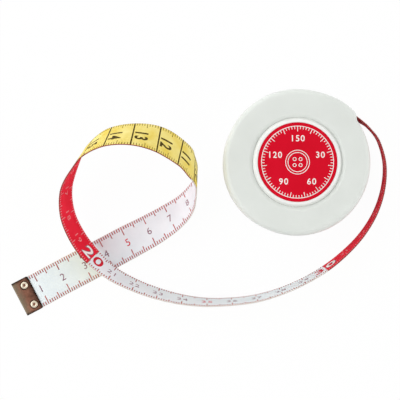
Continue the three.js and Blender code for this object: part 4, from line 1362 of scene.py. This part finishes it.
# %% Print on the disc
LABEL_FILM = 0.02 * MM
SCALE_RING = 13.9 * MM
SCALE_LINE = 0.28 * MM
SCALE_TICKS = 75
SCALE_LENGTHS = (1.0 * MM, 1.9 * MM)
SCALE_LONG_EVERY = 5
SCALE_NUMBERS = (30, 60, 90, 120, 150)
SCALE_NUMBER_HEIGHT = 2.3 * MM
SCALE_NUMBER_RADIUS = 9.2 * MM
BUTTON_RINGS = (4.6 * MM, 3.7 * MM)
BUTTON_HOLE = 0.62 * MM
BUTTON_HOLE_OFFSET = 1.15 * MM
RING_STEPS = 120
SMALL_RING_STEPS = 72
HOLE_STEPS = 24


def flat_ring(radius, width, steps, centre=(0, 0)):
    """A flat ring: two circles, radius -+ half the width, joined by quads that face up."""
    angle = np.arange(steps) * 2 * math.pi / steps
    way = np.stack([np.cos(angle), np.sin(angle)], axis=-1)
    edge = np.stack([way * (radius + width / 2), way * (radius - width / 2)], axis=1)
    return edge.reshape(-1, 2) + centre, grid_faces(steps, 2, close_rows=True)


def turn_flat(points, degrees):
    """Flat points turned about the axis: (x cos a - y sin a, x sin a + y cos a)."""
    a = math.radians(degrees)
    return points @ np.array([[math.cos(a), math.sin(a)], [-math.sin(a), math.cos(a)]])


def label_print():
    """Rings, holes, ticks and numbers on the disc. Tick i is turned by i of 75 steps of a turn, every fifth
    is long, and each number's middle is turned by its share of a turn, while its digits stay upright."""
    sheet = Print()

    def lay(points, faces):
        """Flat shapes set at the level of the disc's top."""
        level = np.full((len(points), 1), BUTTON_TOP + LABEL_FILM)
        sheet.add(np.hstack([points, level]), [list(face) for face in faces])

    lay(*flat_ring(SCALE_RING, SCALE_LINE, RING_STEPS))
    for ring in BUTTON_RINGS:
        lay(*flat_ring(ring, SCALE_LINE, SMALL_RING_STEPS))
    for x in (-BUTTON_HOLE_OFFSET, BUTTON_HOLE_OFFSET):
        for y in (-BUTTON_HOLE_OFFSET, BUTTON_HOLE_OFFSET):
            lay(*flat_ring(BUTTON_HOLE, SCALE_LINE, HOLE_STEPS, (x, y)))
    half = SCALE_LINE / 2
    outer = SCALE_RING - half
    for i in range(SCALE_TICKS):
        inner = outer - SCALE_LENGTHS[i % SCALE_LONG_EVERY == 0]
        tick = np.array([(-half, inner), (half, inner), (half, outer), (-half, outer)])
        lay(turn_flat(tick, -i * 360 / SCALE_TICKS), [(0, 1, 2, 3)])
    for i, number in enumerate(SCALE_NUMBERS, start=1):
        centre = turn_flat(np.array([0, SCALE_NUMBER_RADIUS]), -i * 360 / len(SCALE_NUMBERS))
        for points, faces in number_shapes(number, BOLD):
            lay(points * SCALE_NUMBER_HEIGHT + centre, faces)
    return sheet


label_print().piece("button_label_print", [INK_WHITE], "button", "label_print", LABEL_FILM)

# %% [markdown]
# ## The two springs
# Inside the spool a long steel strip is wound from the arbor to the drum. Its outer part turns with the
# spool while the tab at its inner end stays in the arbor's slot, so it is two pieces that meet beside the
# arbor. The coil spring under the button's stem is a round wire on a helix, and it gets shorter as the
# button goes down. Curves with a bevel could make both; as grids with closed ends they stop exactly where
# the solids do.

# %% Power spring
STRIP_THICKNESS = 0.3 * MM
STRIP_STEPS = 60
STRIP_TAB = 1.5 * MM
STRIP_TURNS = 8
POST_RADIUS = 3.5 * MM
STRIP_GAP = 0.3 * MM
TAB_GAP = 0.27 * MM
strip_low, strip_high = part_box("power_spring")
STRIP_INNER = POST_RADIUS + STRIP_GAP + STRIP_THICKNESS / 2
STRIP_OUTER = strip_high.x - STRIP_TAB


def strip_bar(name, middle, side):
    """A flat bar on its edge: at each place of its middle line, half its thickness to either side, top and
    bottom."""
    half = np.stack([side, side, -side, -side], axis=1) * STRIP_THICKNESS / 2
    rings = middle[:, None] + half
    rings[..., 2] = np.array([strip_low.z, strip_high.z, strip_high.z, strip_low.z])
    return close_up(new_mesh(name, rings, tube_faces(*rings.shape[:2])))


def power_spring():
    """The spiral: radius grows evenly with the turn, and its last point goes on straight out as a tab."""
    share = np.linspace(0, 1, STRIP_TURNS * STRIP_STEPS + 1)
    outward = about_axis(1.0, share * STRIP_TURNS * 2 * math.pi, 0.0)
    spiral = outward * (STRIP_INNER + (STRIP_OUTER - STRIP_INNER) * share)[:, None]
    tab = np.array([[STRIP_OUTER + STRIP_TAB, 0, 0]])
    mitre = np.array([[1.0, -1.0, 0.0]])
    side = np.vstack([outward[:-1], mitre, [[0, -1, 0]]])
    return strip_bar("power_spring_coil", np.vstack([spiral, tab]), side)


inner_tab = np.array([[STRIP_INNER - STRIP_TAB, 0, 0], [POST_RADIUS + TAB_GAP, 0, 0]])
tab_sides = np.array([[0.0, 1.0, 0.0], [0.0, 1.0, 0.0]])
new_piece(power_spring(), [SPRING_STEEL], "spool", ["power_spring"])
new_piece(strip_bar("power_spring_tab", inner_tab, tab_sides), [SPRING_STEEL], "case")

# %% Button spring
COIL_WIRE = 0.2 * MM
COIL_CURLS = 3
COIL_STEPS = 40
WIRE_STEPS = 12
coil_low, coil_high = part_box("button_spring")
COIL_RADIUS = (coil_high.x - coil_low.x) / 2 - COIL_WIRE


def button_spring():
    """A wire on a helix: the middle turns and rises evenly, and a circle about it lies in the plane of the
    axis."""
    share = np.linspace(0, 1, COIL_CURLS * COIL_STEPS + 1)
    angle = (share * COIL_CURLS * 2 * math.pi)[:, None]
    tilt = np.arange(WIRE_STEPS) * 2 * math.pi / WIRE_STEPS
    radius = COIL_RADIUS + COIL_WIRE * np.cos(tilt)
    rise = coil_low.z + COIL_WIRE + (coil_high.z - coil_low.z - 2 * COIL_WIRE) * share[:, None]
    height = rise + COIL_WIRE * np.sin(tilt)
    rings = about_axis(radius, angle, height)
    return close_up(new_mesh("button_spring_coil", rings, tube_faces(*rings.shape[:2])))


coil = new_piece(button_spring(), [SPRING_STEEL], "case", ["button_spring"])
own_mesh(coil)

# %% [markdown]
# ## Inner parts
# Spool, arbor, brake and screw are already the right shapes. They could be modelled again with finer rims,
# but the case hides nearly all of them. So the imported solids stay, and each gets the finish of what it is
# made of.

# %% Inner finishes
INNER = {
    SPOOL_PLASTIC: ["spring_arbor", "spool_drum", "spool_cover", "brake_disc"],
    SPRING_STEEL: ["arbor_screw", "tape_anchor_pin", "retaining_ring"],
    PAD_RUBBER: ["brake_pad"],
}
for material, nodes in INNER.items():
    for node in nodes:
        solid = frame["nodes"][node]
        solid.data.materials.clear()
        solid.data.materials.append(material)
print("inner parts:", sum(len(nodes) for nodes in INNER.values()))

# %% [markdown]
# ## Table and light
# The table is plain white. More light would make it so, but it would bleach the object as well. So to the
# camera, and in reflections, the table is nearly all its own even white, and only a soft trace of the
# shadow shows; to everything else it is an ordinary matt surface that throws light back up. The object
# stands in a light tent: the sky is brighter near the horizon than overhead, so upright faces are about as
# bright as flat ones. Large soft lamps at the upper left, the left and the right give the shapes lighter
# and darker sides. A smaller one stands low beyond the loop, where its light passes under the raised tape
# and reaches the white inside of it.

# %% Table
TABLE_SIZE = 3.0
WHITE_SHARE = 0.97
MATT_WHITE = (0.94, 0.94, 0.94, 1.0)
PURE_WHITE = (1.0, 1.0, 1.0, 1.0)


def seen_directly(nodes):
    """1 for rays from the camera, a mirror or a window, 0 for light on its way round the room."""
    path = nodes.tree.nodes.new("ShaderNodeLightPath").outputs
    sharp = nodes.math("MAXIMUM", path["Is Glossy Ray"], path["Is Transmission Ray"])
    return nodes.math("MAXIMUM", path["Is Camera Ray"], sharp)


def table_material():
    """Matt x (1 - share) + glow x share, where the share is nearly 1 for what is seen directly and else
    0."""
    material = bpy.data.materials.new("table_white")
    material.use_nodes = True
    nodes = Nodes(material.node_tree)
    material.node_tree.nodes.clear()
    matt = nodes.add("ShaderNodeBsdfDiffuse", Color=MATT_WHITE)
    glow = nodes.add("ShaderNodeEmission", Color=PURE_WHITE, Strength=1.0)
    share = nodes.math("MULTIPLY", seen_directly(nodes), WHITE_SHARE)
    mixed = nodes.tree.nodes.new("ShaderNodeMixShader")
    for socket, value in zip(mixed.inputs, (share, matt, glow)):
        nodes.feed(socket, value)
    out = nodes.tree.nodes.new("ShaderNodeOutputMaterial")
    nodes.feed(out.inputs["Surface"], mixed.outputs[0])
    return material


table_corners = np.array([(-1, -1, 0), (1, -1, 0), (1, 1, 0), (-1, 1, 0)]) * TABLE_SIZE / 2
table = bpy.data.objects.new("table", new_mesh("table", table_corners, [(0, 1, 2, 3)]))
table.data.materials.append(table_material())
bpy.context.scene.collection.objects.link(table)
print("table:", TABLE_SIZE, "m square")

# %% Lamps and sky
SKY_HORIZON = 0.74
SKY_OVERHEAD = 0.4
LAMPS = {
    "key_lamp": {"place": (-0.65, 0.5, 0.8), "size": 1.2, "power": 3.45},
    "left_lamp": {"place": (-0.9, -0.1, 0.6), "size": 0.8, "power": 4.6},
    "low_lamp": {"place": (-0.45, 1.05, 0.3), "size": 0.6, "power": 1.8},
    "side_lamp": {"place": (0.95, -0.1, 0.4), "size": 1.0, "power": 5.0},
}

for name, given in LAMPS.items():
    lamp = bpy.data.objects.new(name, bpy.data.lights.new(name, "AREA"))
    lamp.data.size = given["size"]
    lamp.data.energy = given["power"]
    lamp.location = given["place"]
    aim = Vector(CAMERA_PLACE[:2] + (0,)) - lamp.location
    lamp.rotation_euler = aim.to_track_quat("-Z", "Y").to_euler()
    bpy.context.scene.collection.objects.link(lamp)

world = bpy.data.worlds.new("sky")
world.use_nodes = True
sky = Nodes(world.node_tree)
background = world.node_tree.nodes["Background"]
background.inputs["Color"].default_value = PURE_WHITE
way = sky.add("ShaderNodeTexCoord", output="Generated")
height = sky.add("ShaderNodeSeparateXYZ", output="Z", Vector=way)
tent = sky.span(height, SKY_HORIZON, SKY_OVERHEAD)
seen = seen_directly(sky)
unseen = sky.math("MULTIPLY", tent, sky.math("SUBTRACT", 1.0, seen))
sky.feed(background.inputs["Strength"], sky.math("ADD", unseen, seen))
bpy.context.scene.world = world
bpy.context.scene.view_settings.view_transform = "Standard"
print("lamps:", ", ".join(LAMPS))
